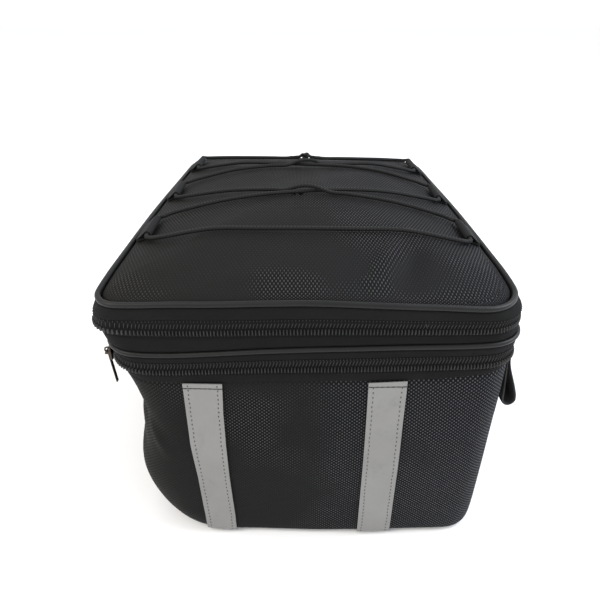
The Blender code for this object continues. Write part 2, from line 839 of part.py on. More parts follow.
def build_slider(name, foot, tall, y, collection):
    """The slider's plate over the coil, with its bridge standing off it along the zip."""
    seat, z = slider_seat(foot, tall, y)
    outer = seat - GAP - SLIDER_WALL
    bm = bmesh.new()
    box(
        bm,
        (outer, y - SLIDER_LENGTH / 2, z - SLIDER_WIDTH / 2),
        (outer + SLIDER_WALL, y + SLIDER_LENGTH / 2, z + SLIDER_WIDTH / 2),
    )
    plate = add_mesh(name, bm, "slider_metal", collection)
    bevel = plate.modifiers.new("edge", "BEVEL")
    bevel.width = SLIDER_WALL * 0.3
    bevel.segments = 2
    bevel.limit_method = "ANGLE"
    bridge_x = outer - RING_BORE - RING_WIRE - GAP
    reach = SLIDER_LENGTH * 0.36
    half = BRIDGE_WIRE / 2
    sink = SLIDER_WALL * 0.4
    bm = bmesh.new()
    box(bm, (bridge_x - half, y - reach, z - half), (bridge_x + half, y + reach, z + half))
    bridge = add_mesh(name + "_bridge", bm, "slider_metal", collection)
    for end in (-1, 1):
        foot_y = y + end * (reach - half)
        bm = bmesh.new()
        box(bm, (bridge_x, foot_y - half, z - half), (outer + sink, foot_y + half, z + half))
        union(bridge, add_mesh(name + "_foot", bm, "slider_metal", collection))
    plate.modifiers.clear()
    union(plate, bridge)
    return Vector((bridge_x, y, z))


def build_pull(pivot, collection):
    """The ring round the slider's bridge and the flat pull that hangs from it."""
    hinge = bpy.data.objects.new("pull_hinge", None)
    hinge.location = pivot
    collection.objects.link(hinge)
    mid = RING_BORE + RING_WIRE / 2
    bpy.ops.mesh.primitive_torus_add(
        major_radius=mid,
        minor_radius=RING_WIRE / 2,
        major_segments=16,
        minor_segments=6,
        rotation=(math.pi / 2, 0.0, 0.0),
    )
    loop = bpy.context.object
    loop.name = "pull_ring"
    for owner in list(loop.users_collection):
        owner.objects.unlink(loop)
    collection.objects.link(loop)
    loop.parent = hinge
    loop.data.shade_smooth()
    loop.data.materials.append(material("slider_metal"))
    start = Vector((0.0, 0.0, -RING_BORE - RING_WIRE - GAP))
    end = start + Vector((PULL_LEAN, 0.0, -PULL_LENGTH))
    path = [start.lerp(end, k / 4) for k in range(5)]
    strap = ribbon(
        "pull_strap", path, Vector((0, 1, 0)), PULL_WIDTH, PULL_WALL, "pull_cord", collection
    )
    strap.parent = hinge


def build():
    clear_scene()
    collection = bpy.data.collections.new("top_case_liner_bag")
    bpy.context.scene.collection.children.link(collection)
    build_body(collection)
    build_tape("tape_left", TAPE_LEFT, collection)
    build_tape("tape_right", TAPE_RIGHT, collection)
    build_stack(collection)
    build_lid(collection)
    for side in (-1, 1):
        for number in range(LOOPS):
            build_cord_loop(side, number, collection)
    build_cord(collection)
    build_strap_loop(collection)
    pivot = build_slider("zip_slider", ZIP2_FOOT, LOWER_ZIP, SLIDER_PLACE, collection)
    build_pull(pivot, collection)
    build_slider("upper_slider", ZIP1_FOOT, UPPER_ZIP, UPPER_SLIDER_PLACE, collection)


build()
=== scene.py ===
"""Looks of a soft inner bag for a motorcycle top case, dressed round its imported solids.

Metres, in the part's own frame: +Z up, the short near end towards -Y. Each cloth piece starts
as the outer skin of its solid, is made smooth, gets its soft folds and its rolled edges, and
then its wall and its stitching.
"""

import math
import random

import bpy
import numpy as np
from mathutils import Matrix, Vector
from mathutils.bvhtree import BVHTree


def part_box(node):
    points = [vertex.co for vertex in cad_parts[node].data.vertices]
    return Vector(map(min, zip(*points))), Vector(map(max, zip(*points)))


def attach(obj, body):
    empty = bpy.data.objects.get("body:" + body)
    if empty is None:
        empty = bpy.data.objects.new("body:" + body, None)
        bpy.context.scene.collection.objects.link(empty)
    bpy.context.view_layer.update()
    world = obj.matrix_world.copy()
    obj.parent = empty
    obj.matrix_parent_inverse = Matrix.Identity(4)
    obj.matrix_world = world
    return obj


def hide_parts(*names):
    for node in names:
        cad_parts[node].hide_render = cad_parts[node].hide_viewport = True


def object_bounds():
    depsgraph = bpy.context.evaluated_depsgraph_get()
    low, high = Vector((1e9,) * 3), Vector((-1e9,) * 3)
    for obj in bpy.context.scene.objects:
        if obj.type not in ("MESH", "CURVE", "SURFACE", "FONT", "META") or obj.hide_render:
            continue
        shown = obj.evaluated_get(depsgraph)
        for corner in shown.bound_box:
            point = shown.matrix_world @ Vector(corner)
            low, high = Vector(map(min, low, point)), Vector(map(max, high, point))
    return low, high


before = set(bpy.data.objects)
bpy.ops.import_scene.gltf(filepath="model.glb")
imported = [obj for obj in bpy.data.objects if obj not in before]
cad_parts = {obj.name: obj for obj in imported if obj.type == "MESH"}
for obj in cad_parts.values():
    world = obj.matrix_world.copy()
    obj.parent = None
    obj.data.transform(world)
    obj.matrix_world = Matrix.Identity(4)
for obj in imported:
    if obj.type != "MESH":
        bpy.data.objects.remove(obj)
cad_low, cad_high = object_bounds()

# The photograph's view
PICTURE_PIXELS = 600
FOCAL_PIXELS = 517
SENSOR_WIDTH = 36.0
CAMERA_PLACE = (-0.005, -0.397, 0.345)
CAMERA_DOWN = 30.3

# How the skins are taken from the solids
MERGE = 0.00001
SKIN_LEVELS = 3
STRIP_LEVELS = 4
SOLID_LEVELS = 2
SEAM_ROLL = 0.0008
SEAM_REACH = 0.0014
SEAM_LAP = 0.0004
SEAM_ALLOWANCE = 0.0035
RAY_START = 0.04
BASE_INSET = 0.006
LID_CENTRE_SHARE = 0.056

# Thickness of each cloth
BODY_CLOTH = 0.0016
LID_CLOTH = 0.0014
BAND_CLOTH = 0.0012
ZIP_CLOTH = 0.001
STRIP_CLOTH = 0.0007

# Rounded edges: their width, segments, and the least angle of an edge that gets one
LOOP_ROUND = (0.00018, 1, 50)
SEAM_LOOP_ROUND = (0.0004, 1, 50)
PLATE_ROUND = (0.00025, 2, 40)
PULL_ROUND = (0.0003, 2, 50)

# Weaves, as the pitch of a thread
BODY_WEAVE = (0.00150, 0.00128)
LID_WEAVE = (0.00116, 0.00240)
PLAIN_PITCH = 0.00050
TAPE_PITCH = 0.00045
BEAD_PITCH = 0.0006
WEBBING_RIB = 0.0016
STRAND_PITCH = 0.0005
BRAID_PITCH = 0.0024
BRAID_YARNS = 6.0

# Zip coil and its sewing
COIL_PITCH = 0.0020
RIB_RADIUS = 0.00037
RIB_HEIGHT = 0.0032
RIB_DEPTH = 0.0012
RIB_SHARE = 0.27
CHAIN_SHARE = 0.68
CHAIN_LEAN = 17.0
DOT_SHARES = (0.04, 0.965)

# Stitches: their radius, length, and share of depth
CHAIN_STITCH = (0.00030, 0.0044, 0.9)
DOT_STITCH = (0.00030, 0.0009, 0.9)
STRIP_STITCH = (0.00040, 0.0015, 0.7)
TOP_STITCH = (0.00042, 0.0034, 0.8)
LOOP_STITCH = (0.00032, 0.0021, 0.9)
SEAM_LOOP_STITCH = (0.00035, 0.0021, 0.8)

# Sewing of the reflective strips
STRIP_INSET = 0.003
STRIP_PITCH = 0.0035
STRIP_WANDER = 0.0002
TOP_DROP = 0.0037
TOP_PITCH = 0.0030

# How the strips settle, by height: the moves of their left and right edges
LEFT_SETTLE = (
    (0.020, 0.0029, -0.0004),
    (0.060, 0.0013, -0.0019),
    (0.090, -0.0010, -0.0024),
    (0.115, -0.0012, -0.0025),
    (0.140, -0.0010, -0.0014),
)
RIGHT_SETTLE = ((0.020, 0.0012, 0.0), (0.110, 0.0012, -0.0004), (0.140, 0.0012, 0.0))

# Sewing of the webbing loops, and of the loop under the seam
LOOP_SEAM = 0.0022
LOOP_STITCHES = 9
SEAM_LOOP_ROWS = (0.009, 0.015)
SEAM_LOOP_PITCH = 0.0026

# How the seam loop's legs come together above its foot
LEG_FOOT = 0.010
LEG_SPREAD = 0.90
LEG_CLOSING = 0.55
LEG_NARROWING = 0.10
LEG_RIPPLE = 0.0007
LEG_RIPPLE_TURN = 150.0

# Slider plates, ring and pull
SLIDER_EDGE = 0.0004
SLIDER_CORNER = 0.0018
RING_SWELL = 0.00006
RING_STRETCH = (1.04, 1.0, 1.08)
PULL_SHARES = (0.7, 0.55, 1.0)
PULL_FUSED_BELOW = 0.1268

# Elastic cord and its tie
CORD_RADIUS = 0.0015
CORD_SIDES = 14
CORD_STEP = 0.0016
TIE_SIDES = 12
TIE_POINTS = 72
TIE_REACH = 0.72
TIE_SHARES = (0.34, 0.42, 0.28)

# How far the two pipings are let out
SECOND_SWELL = -0.00010
RIM_SWELL = 0.00012

# Lamps: name, place, size, power, colour
LAMPS = (
    ("left_window", (-1.1, -0.7, 1.3), 1.0, 16.0, (1.0, 0.95, 0.86)),
    ("right_window", (1.3, 0.0, 1.2), 1.2, 26.0, (0.86, 0.92, 1.0)),
)
LAMP_AIM = (0.0, 0.0, 0.1)
SURROUND = (0.97, 0.98, 1.0, 1.0)
SURROUND_STRENGTH = 1.1
FLOOR_SIZE = 12.0

# Heights of the stack's lines, from the body's cloth up to the lid's rim
SAG_LEVELS = (
    (0.100, "foot"),
    (0.142, "seam"),
    (0.151, "lower_coil"),
    (0.161, "piping"),
    (0.171, "piping"),
    (0.178, "coil"),
    (0.191, "rim"),
    (0.197, "rim"),
)
SAG_BLEND = 0.010

# How far in from its near edge the lid follows the sag, and how its slopes spread the weave
LID_CALM = 0.050
LID_SPREAD = 0.7

# How far each line climbs (+) or hangs (-) along the near side; around runs to the right
SAG = (
    {"around": -0.160},
    {"around": -0.120, "rim": -0.0022, "piping": -0.0010, "lower_coil": -0.0005},
    {"around": -0.100, "rim": -0.0024, "piping": -0.0036, "lower_coil": -0.0022, "seam": -0.0014},
    {"around": -0.080, "rim": -0.0017, "piping": -0.0040, "lower_coil": -0.0020, "seam": -0.0022},
    {"around": -0.057, "rim": -0.0016, "piping": -0.0029, "lower_coil": -0.0007, "seam": -0.0017},
    {"around": -0.028, "rim": -0.0003, "coil": 0.0007, "piping": -0.0011},
    {"around": 0.000, "rim": 0.0006, "coil": 0.0010, "piping": -0.0003, "lower_coil": 0.0003},
    {"around": 0.030, "rim": -0.0005, "coil": 0.0010, "piping": -0.0003, "seam": -0.0011},
    {"around": 0.059, "rim": -0.0016, "coil": 0.0002, "piping": -0.0004, "seam": -0.0026},
    {"around": 0.080, "rim": -0.0019, "piping": -0.0008, "seam": -0.0030},
    {"around": 0.100, "rim": -0.0027, "piping": -0.0008, "seam": -0.0018},
    {"around": 0.118, "rim": -0.0028},
    {"around": 0.160},
)

random.seed(7)


def waver(most):
    """A small random turn or shift, as sewing has."""
    return random.uniform(-most, most)


def focus(piece):
    bpy.ops.object.select_all(action="DESELECT")
    piece.select_set(True)
    bpy.context.view_layer.objects.active = piece


def choose(piece, kind, test):
    """Goes to edit mode with only the faces, edges or vertices selected that pass a test."""
    focus(piece)
    bpy.ops.object.mode_set(mode="EDIT")
    bpy.ops.mesh.select_mode(type=kind)
    bpy.ops.mesh.select_all(action="DESELECT")
    bpy.ops.object.mode_set(mode="OBJECT")
    group = {"FACE": "polygons", "EDGE": "edges", "VERT": "vertices"}[kind]
    for item in getattr(piece.data, group):
        item.select = test(item)
    bpy.ops.object.mode_set(mode="EDIT")


def leave_edit():
    bpy.ops.object.mode_set(mode="OBJECT")


def apply(piece, kind, **settings):
    """Adds a modifier, sets it and applies it."""
    focus(piece)
    modifier = piece.modifiers.new(kind.lower(), kind)
    for name, value in settings.items():
        setattr(modifier, name, value)
    bpy.ops.object.modifier_apply(modifier=modifier.name)


def copy_of(node, name):
    """A new piece with a solid's mesh, its loose triangles joined into quads."""
    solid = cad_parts[node]
    piece = bpy.data.objects.new(name, solid.data.copy())
    piece.data.transform(solid.matrix_world)
    bpy.context.scene.collection.objects.link(piece)
    piece.data.materials.clear()
    focus(piece)
    bpy.ops.mesh.customdata_custom_splitnormals_clear()
    bpy.ops.object.mode_set(mode="EDIT")
    bpy.ops.mesh.select_all(action="SELECT")
    bpy.ops.mesh.remove_doubles(threshold=MERGE)
    bpy.ops.mesh.tris_convert_to_quads(
        face_threshold=math.radians(50), shape_threshold=math.radians(70)
    )
    leave_edit()
    return piece


def smooth(piece, levels):
    corners = "PRESERVE_CORNERS"
    apply(piece, "SUBSURF", levels=levels, render_levels=levels, boundary_smooth=corners)


def round_edges(piece, width, segments, angle):
    limit = {"limit_method": "ANGLE", "angle_limit": math.radians(angle)}
    apply(piece, "BEVEL", width=width, segments=segments, **limit)


def skin_of(node, name, keep, levels=SKIN_LEVELS):
    """The smooth outer skin of a solid, made of the faces that pass the test."""
    piece = copy_of(node, name)
    choose(piece, "FACE", lambda face: not keep(face))
    bpy.ops.mesh.delete(type="FACE")
    leave_edit()
    smooth(piece, levels)
    return piece


def faces_out(face):
    """Whether a face of a wall looks away from the bag's middle."""
    flat = Vector((face.center.x, face.center.y))
    return face.normal.xy.dot(flat) > 0 and abs(face.normal.z) < 0.97


def open_keys(piece):
    """The edges that only one face of a skin uses."""
    used = {}
    for face in piece.data.polygons:
        for key in face.edge_keys:
            used[key] = used.get(key, 0) + 1
    return {key for key, count in used.items() if count == 1}


def rim_points(piece, top):
    """The vertices on a wall's upper or lower open edge."""
    keys = open_keys(piece)
    points = piece.data.vertices
    ends = set()
    for face in piece.data.polygons:
        for key in set(face.edge_keys) & keys:
            low, high = sorted((points[v].co.z for v in key))
            level = high - low < (points[key[0]].co - points[key[1]].co).length / 2
            if level and (low > face.center.z) == top:
                ends.update(key)
    return [points[v].co.copy() for v in sorted(ends)]


def places_of(piece):
    """Every vertex of a piece as an array of rows."""
    found = np.empty(len(piece.data.vertices) * 3)
    piece.data.vertices.foreach_get("co", found)
    return found.reshape(-1, 3)


def normals_of(piece):
    found = np.empty(len(piece.data.vertices) * 3, np.float32)
    piece.data.vertex_normals.foreach_get("vector", found)
    return found.reshape(-1, 3).astype(float)


def move_to(piece, places):
    piece.data.vertices.foreach_set("co", places.ravel())
    piece.data.update()


class Girth:
    """Measures the way round the bag, from the near side's middle to the right and to the left."""

    def __init__(self, points):
        ordered = sorted(points, key=lambda point: math.atan2(point.x, -point.y))
        self.points = np.array([(point.x, point.y) for point in ordered])
        angles = np.arctan2(self.points[:, 0], -self.points[:, 1])
        steps = np.linalg.norm(np.diff(self.points, axis=0), axis=1)
        arcs = np.concatenate(([0.0], np.cumsum(steps)))
        self.whole = arcs[-1] + np.linalg.norm(self.points[0] - self.points[-1])
        self.arcs = arcs - np.interp(0.0, angles, arcs)
        turn = 2 * math.pi
        self.angles = np.concatenate(([angles[-1] - turn], angles, [angles[0] + turn]))
        self.turns = np.concatenate(
            ([self.arcs[-1] - self.whole], self.arcs, [self.arcs[0] + self.whole])
        )

    def measure(self, places):
        """How far round the bag each place lies."""
        return np.interp(np.arctan2(places[:, 0], -places[:, 1]), self.angles, self.turns)

    def point(self, around):
        x = np.interp(around, self.arcs, self.points[:, 0], period=self.whole)
        y = np.interp(around, self.arcs, self.points[:, 1], period=self.whole)
        return Vector((x, y, 0.0))

    def outward(self, around):
        along = self.point(around + 0.002) - self.point(around - 0.002)
        return Vector((along.y, -along.x, 0.0)).normalized()


def lay_out(piece, girth):
    """Gives a wall its UV map in metres: the way round the bag, and the height."""
    mesh = piece.data
    around = girth.measure(places_of(piece))
    layer = mesh.uv_layers.new(name="cloth")
    for face in mesh.polygons:
        turns = [around[v] for v in face.vertices]
        wrap = max(turns) - min(turns) > girth.whole / 2
        level = abs(face.normal.z) > 0.95
        for loop, turn in zip(face.loop_indices, turns):
            place = mesh.vertices[mesh.loops[loop].vertex_index].co
            if wrap and turn < 0:
                turn += girth.whole
            layer.data[loop].uv = (place.x, place.y) if level else (turn, place.z)


def lay_flat(piece, across=0, up=1):
    """Gives a piece a UV map in metres, seen along one axis."""
    layer = piece.data.uv_layers.new(name="cloth")
    for loop in piece.data.loops:
        place = piece.data.vertices[loop.vertex_index].co
        layer.data[loop.index].uv = (place[across], place[up])


def fold(piece, folds, first, second):
    """Raises and sinks a skin along lines; a row holds their start, end, width and rise."""
    places = places_of(piece)
    outward = normals_of(piece)
    move = np.zeros(len(places))
    for start, end, wide, rise in folds:
        line = np.subtract(end, start)
        offset = np.stack((first - start[0], second - start[1]), axis=1)
        share = np.clip(offset @ line / (line @ line), 0.0, 1.0)
        away = np.linalg.norm(offset - share[:, None] * line, axis=1)
        fade = np.sin(np.pi * np.clip(0.12 + 0.76 * share, 0.0, 1.0))
        move += rise * fade * np.exp(-((away / wide) ** 2))
    move_to(piece, places + outward * move[:, None])


def sag(around, height):
    """How far the stack climbs or hangs at places given by their way round and height."""
    total = np.zeros(len(around))
    keys = [row["around"] for row in SAG]
    marks = [mark for mark, _ in SAG_LEVELS]
    shifts = []
    for _, word in SAG_LEVELS:
        values = [row.get(word, 0.0) for row in SAG]
        near = np.interp(around - SAG_BLEND, keys, values)
        near = near + np.interp(around + SAG_BLEND, keys, values)
        shifts.append(near / 4 + np.interp(around, keys, values) / 2)
    for k in range(len(marks) - 1):
        inside = (height >= marks[k]) & (height < marks[k + 1])
        share = (height - marks[k]) / (marks[k + 1] - marks[k])
        total = np.where(inside, shifts[k] * (1 - share) + shifts[k + 1] * share, total)
    return np.where(height >= marks[-1], shifts[-1], total)


def drape(piece, girth):
    """Lets a piece follow the soft stack's sag; the lid follows it near its rim alone."""
    places = places_of(piece)
    move = sag(girth.measure(places), places[:, 2])
    inward = (places[:, 1] - cad_low.y) / LID_CALM
    above = places[:, 2] > SAG_LEVELS[-1][0]
    calm = np.where(above, np.clip(1.2 - inward, 0.0, 1.0), 1.0)
    places[:, 2] += move * calm
    move_to(piece, places)


def roll_edges(piece):
    """Rolls a skin's level edges inward, as at a seam, and laps them with the next piece's."""
    start = places_of(piece)
    places = start.copy()
    outward = normals_of(piece)
    outward[:, 2] = 0.0
    for top in (False, True):
        edges = np.array([tuple(point) for point in rim_points(piece, top)])
        if not len(edges):
            continue
        near = np.full(len(start), 1.0)
        for first in range(0, len(start), 2000):
            part = start[first : first + 2000]
            gaps = np.linalg.norm(part[:, None, :] - edges[None, :, :], axis=2)
            near[first : first + 2000] = gaps.min(axis=1)
        inside = np.clip(1 - near / SEAM_REACH, 0.0, 1.0)
        places -= outward * (SEAM_ROLL * (1 - np.sqrt(1 - inside**2)))[:, None]
        places[:, 2] += (SEAM_LAP if top else -SEAM_LAP) * inside**2
    move_to(piece, places)


def add_allowance(piece, girth):
    """Turns a skin's open edges in towards the bag, as the hidden cloth of a seam."""
    keys = open_keys(piece)
    choose(piece, "EDGE", lambda edge: edge.key in keys)
    bpy.ops.mesh.extrude_edges_indiv()
    leave_edit()
    turned = [vertex for vertex in piece.data.vertices if vertex.select]
    turns = girth.measure(np.array([tuple(vertex.co) for vertex in turned]))
    for vertex, around in zip(turned, turns):
        vertex.co -= girth.outward(around) * SEAM_ALLOWANCE


def wall(piece, thickness):
    """Gives a skin its cloth's thickness, inwards."""
    apply(piece, "SOLIDIFY", thickness=thickness, offset=-1.0)


def soft_shade(piece, angle=50):
    focus(piece)
    bpy.ops.object.shade_smooth_by_angle(angle=math.radians(angle))


def finish_piece(piece, finish, slot, body, *nodes):
    """Gives a finished piece its material, its body and what it stands for; its slot is not used.
    """
    piece.data.materials.clear()
    piece.data.materials.append(finish)
    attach(piece, body)
    if nodes:
        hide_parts(*nodes)


def tree_of(piece):
    return BVHTree.FromObject(piece, bpy.context.evaluated_depsgraph_get())


def heights_of(piece, girth):
    """A skin's lower and upper open edge, as functions of the way round."""
    found = []
    for top in (False, True):
        points = np.array([tuple(point) for point in rim_points(piece, top)])
        turns = girth.measure(points)
        order = np.argsort(turns)
        found.append((turns[order], points[order, 2]))

    def span(around):
        (a, low), (b, high) = found
        return np.interp(around, a, low), np.interp(around, b, high)

    return span


def on_skin(tree, girth, around, height):
    """The place on a skin at a way round and a height, with its outward direction."""
    out = girth.outward(around)
    start = girth.point(around) + out * RAY_START
    start.z = height
    place, normal, _, _ = tree.ray_cast(start, -out)
    return place, out


def frame_at(place, out, lean=0.0):
    """A frame whose first axis runs to the right along a wall and whose second runs inward."""
    up = Vector((0.0, 0.0, 1.0))
    along = (-out).cross(up).normalized()
    turned = Matrix.Rotation(math.radians(lean), 4, -out)
    axes = Matrix((along, -out, up)).transposed().to_4x4()
    return Matrix.Translation(place) @ turned @ axes


def scatter(name, pattern, frames):
    """One mesh with a copy of the pattern in each frame; the pattern itself is removed."""
    shape = np.array([(*vertex.co, 1.0) for vertex in pattern.data.vertices])
    sides = [tuple(face.vertices) for face in pattern.data.polygons]
    places = []
    faces = []
    for k, at in enumerate(frames):
        places.extend((shape @ np.array(at).T)[:, :3])
        faces.extend(tuple(v + k * len(shape) for v in side) for side in sides)
    mesh = bpy.data.meshes.new(name)
    mesh.from_pydata(places, [], faces)
    piece = bpy.data.objects.new(name, mesh)
    bpy.context.scene.collection.objects.link(piece)
    bpy.data.objects.remove(pattern, do_unlink=True)
    mesh.shade_smooth()
    return piece


def bar(radius, height, flat, segments=8, rings=6):
    """A small upright bar with round ends, its depth a share of its width."""
    bpy.ops.object.select_all(action="DESELECT")
    bpy.ops.mesh.primitive_uv_sphere_add(segments=segments, ring_count=rings, radius=radius)
    piece = bpy.context.object
    half = max(height / 2 - radius, 0.0)
    for side in (-1, 1):
        choose(piece, "VERT", lambda vertex: vertex.co.z * side > radius * 0.05)
        bpy.ops.transform.translate(value=(0.0, 0.0, side * half))
        leave_edit()
    choose(piece, "VERT", lambda vertex: True)
    bpy.ops.transform.resize(value=(1.0, flat, 1.0))
    leave_edit()
    return piece


def stitch(size):
    return bar(*size, segments=6, rings=4)


def sew(name, pattern, frames, finish, slot):
    """A row of ribs or stitches, as one piece on the bag."""
    finish_piece(scatter(name, pattern, frames), finish, slot, "bag")


def tube(name, points, radius, sides, closed=False):
    """A round tube along a line of points, with a UV map in metres along and shares around."""
    points = [Vector(point) for point in points]
    count = len(points)
    rows = []
    lengths = [0.0]
    for a, b in zip(points, points[1:]):
        lengths.append(lengths[-1] + (b - a).length)
    across = None
    for k, point in enumerate(points):
        before = points[k - 1] if closed or k else point
        after = points[(k + 1) % count] if closed or k < count - 1 else point
        along = (after - before).normalized()
        if across is None:
            across = along.orthogonal()
        across = (across - along * across.dot(along)).normalized()
        side = along.cross(across)
        ring = []
        for step in range(sides):
            turn = 2 * math.pi * step / sides
            ring.append(point + (across * math.cos(turn) + side * math.sin(turn)) * radius)
        rows.append(ring)
    places = [place for ring in rows for place in ring]
    faces = []
    maps = []
    for k in range(count if closed else count - 1):
        here = k * sides
        after = (k + 1) % count * sides
        last = lengths[k + 1] if k + 1 < count else lengths[k] + (points[0] - points[k]).length
        for step in range(sides):
            beside = (step + 1) % sides
            faces.append((here + step, here + beside, after + beside, after + step))
            left = step / sides
            right = (step + 1) / sides
            maps.append(((left, lengths[k]), (right, lengths[k]), (right, last), (left, last)))
    if not closed:
        faces.append(tuple(reversed(range(sides))))
        maps.append(tuple((0.0, 0.0) for _ in range(sides)))
        faces.append(tuple((count - 1) * sides + step for step in range(sides)))
        maps.append(tuple((0.0, lengths[-1]) for _ in range(sides)))
    mesh = bpy.data.meshes.new(name)
    mesh.from_pydata(places, [], faces)
    layer = mesh.uv_layers.new(name="cloth")
    for loop, place in enumerate(place for row in maps for place in row):
        layer.data[loop].uv = place
    piece = bpy.data.objects.new(name, mesh)
    bpy.context.scene.collection.objects.link(piece)
    mesh.shade_smooth()
    return piece


class Value:
    """A socket in a material's maths, used with Python's own operators."""

    def __init__(self, finish, socket):
        self.finish = finish
        self.socket = socket

    def maths(self, operation, *values):
        return self.finish.node("ShaderNodeMath", {"operation": operation}, values)

    def __add__(self, other):
        return self.maths("ADD", self, other)

    __radd__ = __add__

    def __sub__(self, other):
        return self.maths("SUBTRACT", self, other)

    def __rsub__(self, other):
        return self.maths("SUBTRACT", other, self)

    def __mul__(self, other):
        return self.maths("MULTIPLY", self, other)

    __rmul__ = __mul__

    def __truediv__(self, other):
        return self.maths("DIVIDE", self, other)

    def __mod__(self, other):
        return self.maths("FLOORED_MODULO", self, other)

    def floor(self):
        return self.maths("FLOOR", self)

    def size(self):
        return self.maths("ABSOLUTE", self)

    def wave(self):
        """The size of a sine of half turns: one rounded crest for each unit."""
        return self.maths("SINE", self * math.pi).size()


class Finish:
    """A material built from nodes round one Principled shader."""

    def __init__(self, name, colour, roughness, metallic=0.0, specular=0.5):
        self.material = bpy.data.materials.new(name)
        self.material.use_nodes = True
        self.tree = self.material.node_tree
        self.shader = self.tree.nodes["Principled BSDF"]
        self.set("Base Color", (*colour, 1.0))
        self.set("Roughness", roughness)
        self.set("Metallic", metallic)
        self.set("Specular IOR Level", specular)

    def set(self, name, value):
        socket = self.shader.inputs[name]
        if isinstance(value, Value):
            self.tree.links.new(value.socket, socket)
        else:
            socket.default_value = value

    def node(self, kind, settings=None, inputs=(), output=0):
        """Any node: its settings come first, then the values or links of its sockets."""
        made = self.tree.nodes.new(kind)
        for name, value in (settings or {}).items():
            setattr(made, name, value)
        pairs = inputs.items() if isinstance(inputs, dict) else enumerate(inputs)
        for key, value in pairs:
            if isinstance(value, Value):
                self.tree.links.new(value.socket, made.inputs[key])
            else:
                made.inputs[key].default_value = value
        return Value(self, made.outputs[output])

    def cloth_map(self):
        """The piece's own map, as its two measures."""
        place = self.node("ShaderNodeUVMap", {"uv_map": "cloth"})
        split = {"Vector": place}
        return [self.node("ShaderNodeSeparateXYZ", None, split, k) for k in (0, 1)]

    def object_place(self):
        return self.node("ShaderNodeTexCoord", None, (), 3)

    def noise(self, scale, detail=3.0, roughness=0.5):
        inputs = {
            "Vector": self.object_place(),
            "Scale": scale,
            "Detail": detail,
            "Roughness": roughness,
        }
        return self.node("ShaderNodeTexNoise", None, inputs)

    def mix(self, share, first, second):
        """Between two colours."""
        inputs = {0: share, 6: first, 7: second}
        return self.node("ShaderNodeMix", {"data_type": "RGBA"}, inputs, 2)

    def bump(self, height, distance, strength=1.0):
        inputs = {"Height": height, "Distance": distance, "Strength": strength}
        self.set("Normal", self.node("ShaderNodeBump", None, inputs))

    def weave(self, across_pitch, up_pitch):
        """Threads of a plain weave: height, 1 where the thread across lies on top, and crests."""
        around, up = self.cloth_map()
        a = around / across_pitch
        b = up / up_pitch
        over = (a.floor() + b.floor()) % 2.0
        across = a.wave()
        along = b.wave()
        first = along * (0.45 + 0.55 * across)
        second = across * (0.45 + 0.55 * along)
        return over * first + (1.0 - over) * second, over, across * across * along


def shade(level):
    """A grey."""
    return (level, level, level, 1.0)


def ballistic_cloth(name, pitches, shine, left, right, glint_spots, axis):
    """Coarse nylon weave with painted light: painted highlights on its raised threads in patches,
    and a painted light tint, warmer to the left and cooler to the right.

    A spot is a place across and along an axis, its reach, and how much more the painted
    highlights of the weave show.
    """
    finish = Finish(name, (0.010, 0.010, 0.011), 0.6, specular=0.09)
    height, over, dot = finish.weave(*pitches)
    split = {"Vector": finish.object_place()}
    side = finish.node("ShaderNodeSeparateXYZ", None, split, 0)
    other = finish.node("ShaderNodeSeparateXYZ", None, split, axis)
    patch = finish.noise(15.0, 3.0, 0.55)
    cloud = finish.noise(34.0, 4.0, 0.6)
    speck = finish.noise(420.0, 2.0, 0.6)
    # Where the painted highlights on the thread crests show: in patches, more towards the right as
    # painted light from that side, and more or less round each spot
    seen = (patch - 0.48) * 4.5 + 0.36 + side * 5.0
    for x, y, reach, gain in glint_spots:
        across = (side - x) / reach
        along = (other - y) / reach
        near = 1.0 - across * across - along * along
        seen = seen + gain * finish.node("ShaderNodeClamp", None, {0: near})
    seen = finish.node("ShaderNodeClamp", None, {0: seen})
    crest = over * dot
    # Painted highlight: the crests of the raised threads shine in the patches, up to the shine
    # level, sparkling at random
    painted_glint = crest * (0.05 + 0.95 * seen) * (0.3 + 1.2 * speck)
    # Painted shade: where the painted highlights show, the ground between them is darker; elsewhere
    # it is an even grey
    ground = finish.mix(seen * (0.5 + cloud), shade(0.0085), shade(0.0030))
    tone = finish.mix(painted_glint, ground, shade(shine))
    # Painted light: a warmer tint, scaled by left, on the left side and a cooler tint, scaled by
    # right, on the right, as light from two windows
    cool_light_share = finish.node("ShaderNodeClamp", None, {0: 0.5 + side * 3.5})
    warm_light_colour = (1.08 * left, 1.03 * left, 0.90 * left, 1.0)
    tint = finish.mix(cool_light_share, warm_light_colour, (0.96 * right, right, 1.15 * right, 1.0))
    blend = {"data_type": "RGBA", "blend_type": "MULTIPLY"}
    finish.set("Base Color", finish.node("ShaderNodeMix", blend, {0: 1.0, 6: tone, 7: tint}, 2))
    finish.set("Roughness", 0.72 - 0.30 * crest)
    finish.bump((height + 0.9 * over) * (0.25 + 0.75 * seen) + 0.25 * speck, 0.00030)
    return finish.material


def plain_cloth():
    """Fine matte weave of the bands."""
    finish = Finish("plain_cloth", (0.008, 0.008, 0.008), 0.8, specular=0.10)
    height, over, _ = finish.weave(PLAIN_PITCH, PLAIN_PITCH)
    cloud = finish.noise(30.0, 4.0, 0.6)
    finish.set("Base Color", finish.mix(cloud * (0.6 + 0.4 * over), shade(0.005), shade(0.016)))
    finish.set("Roughness", 0.75 + 0.15 * cloud)
    finish.bump(height + cloud, 0.00018)
    return finish.material


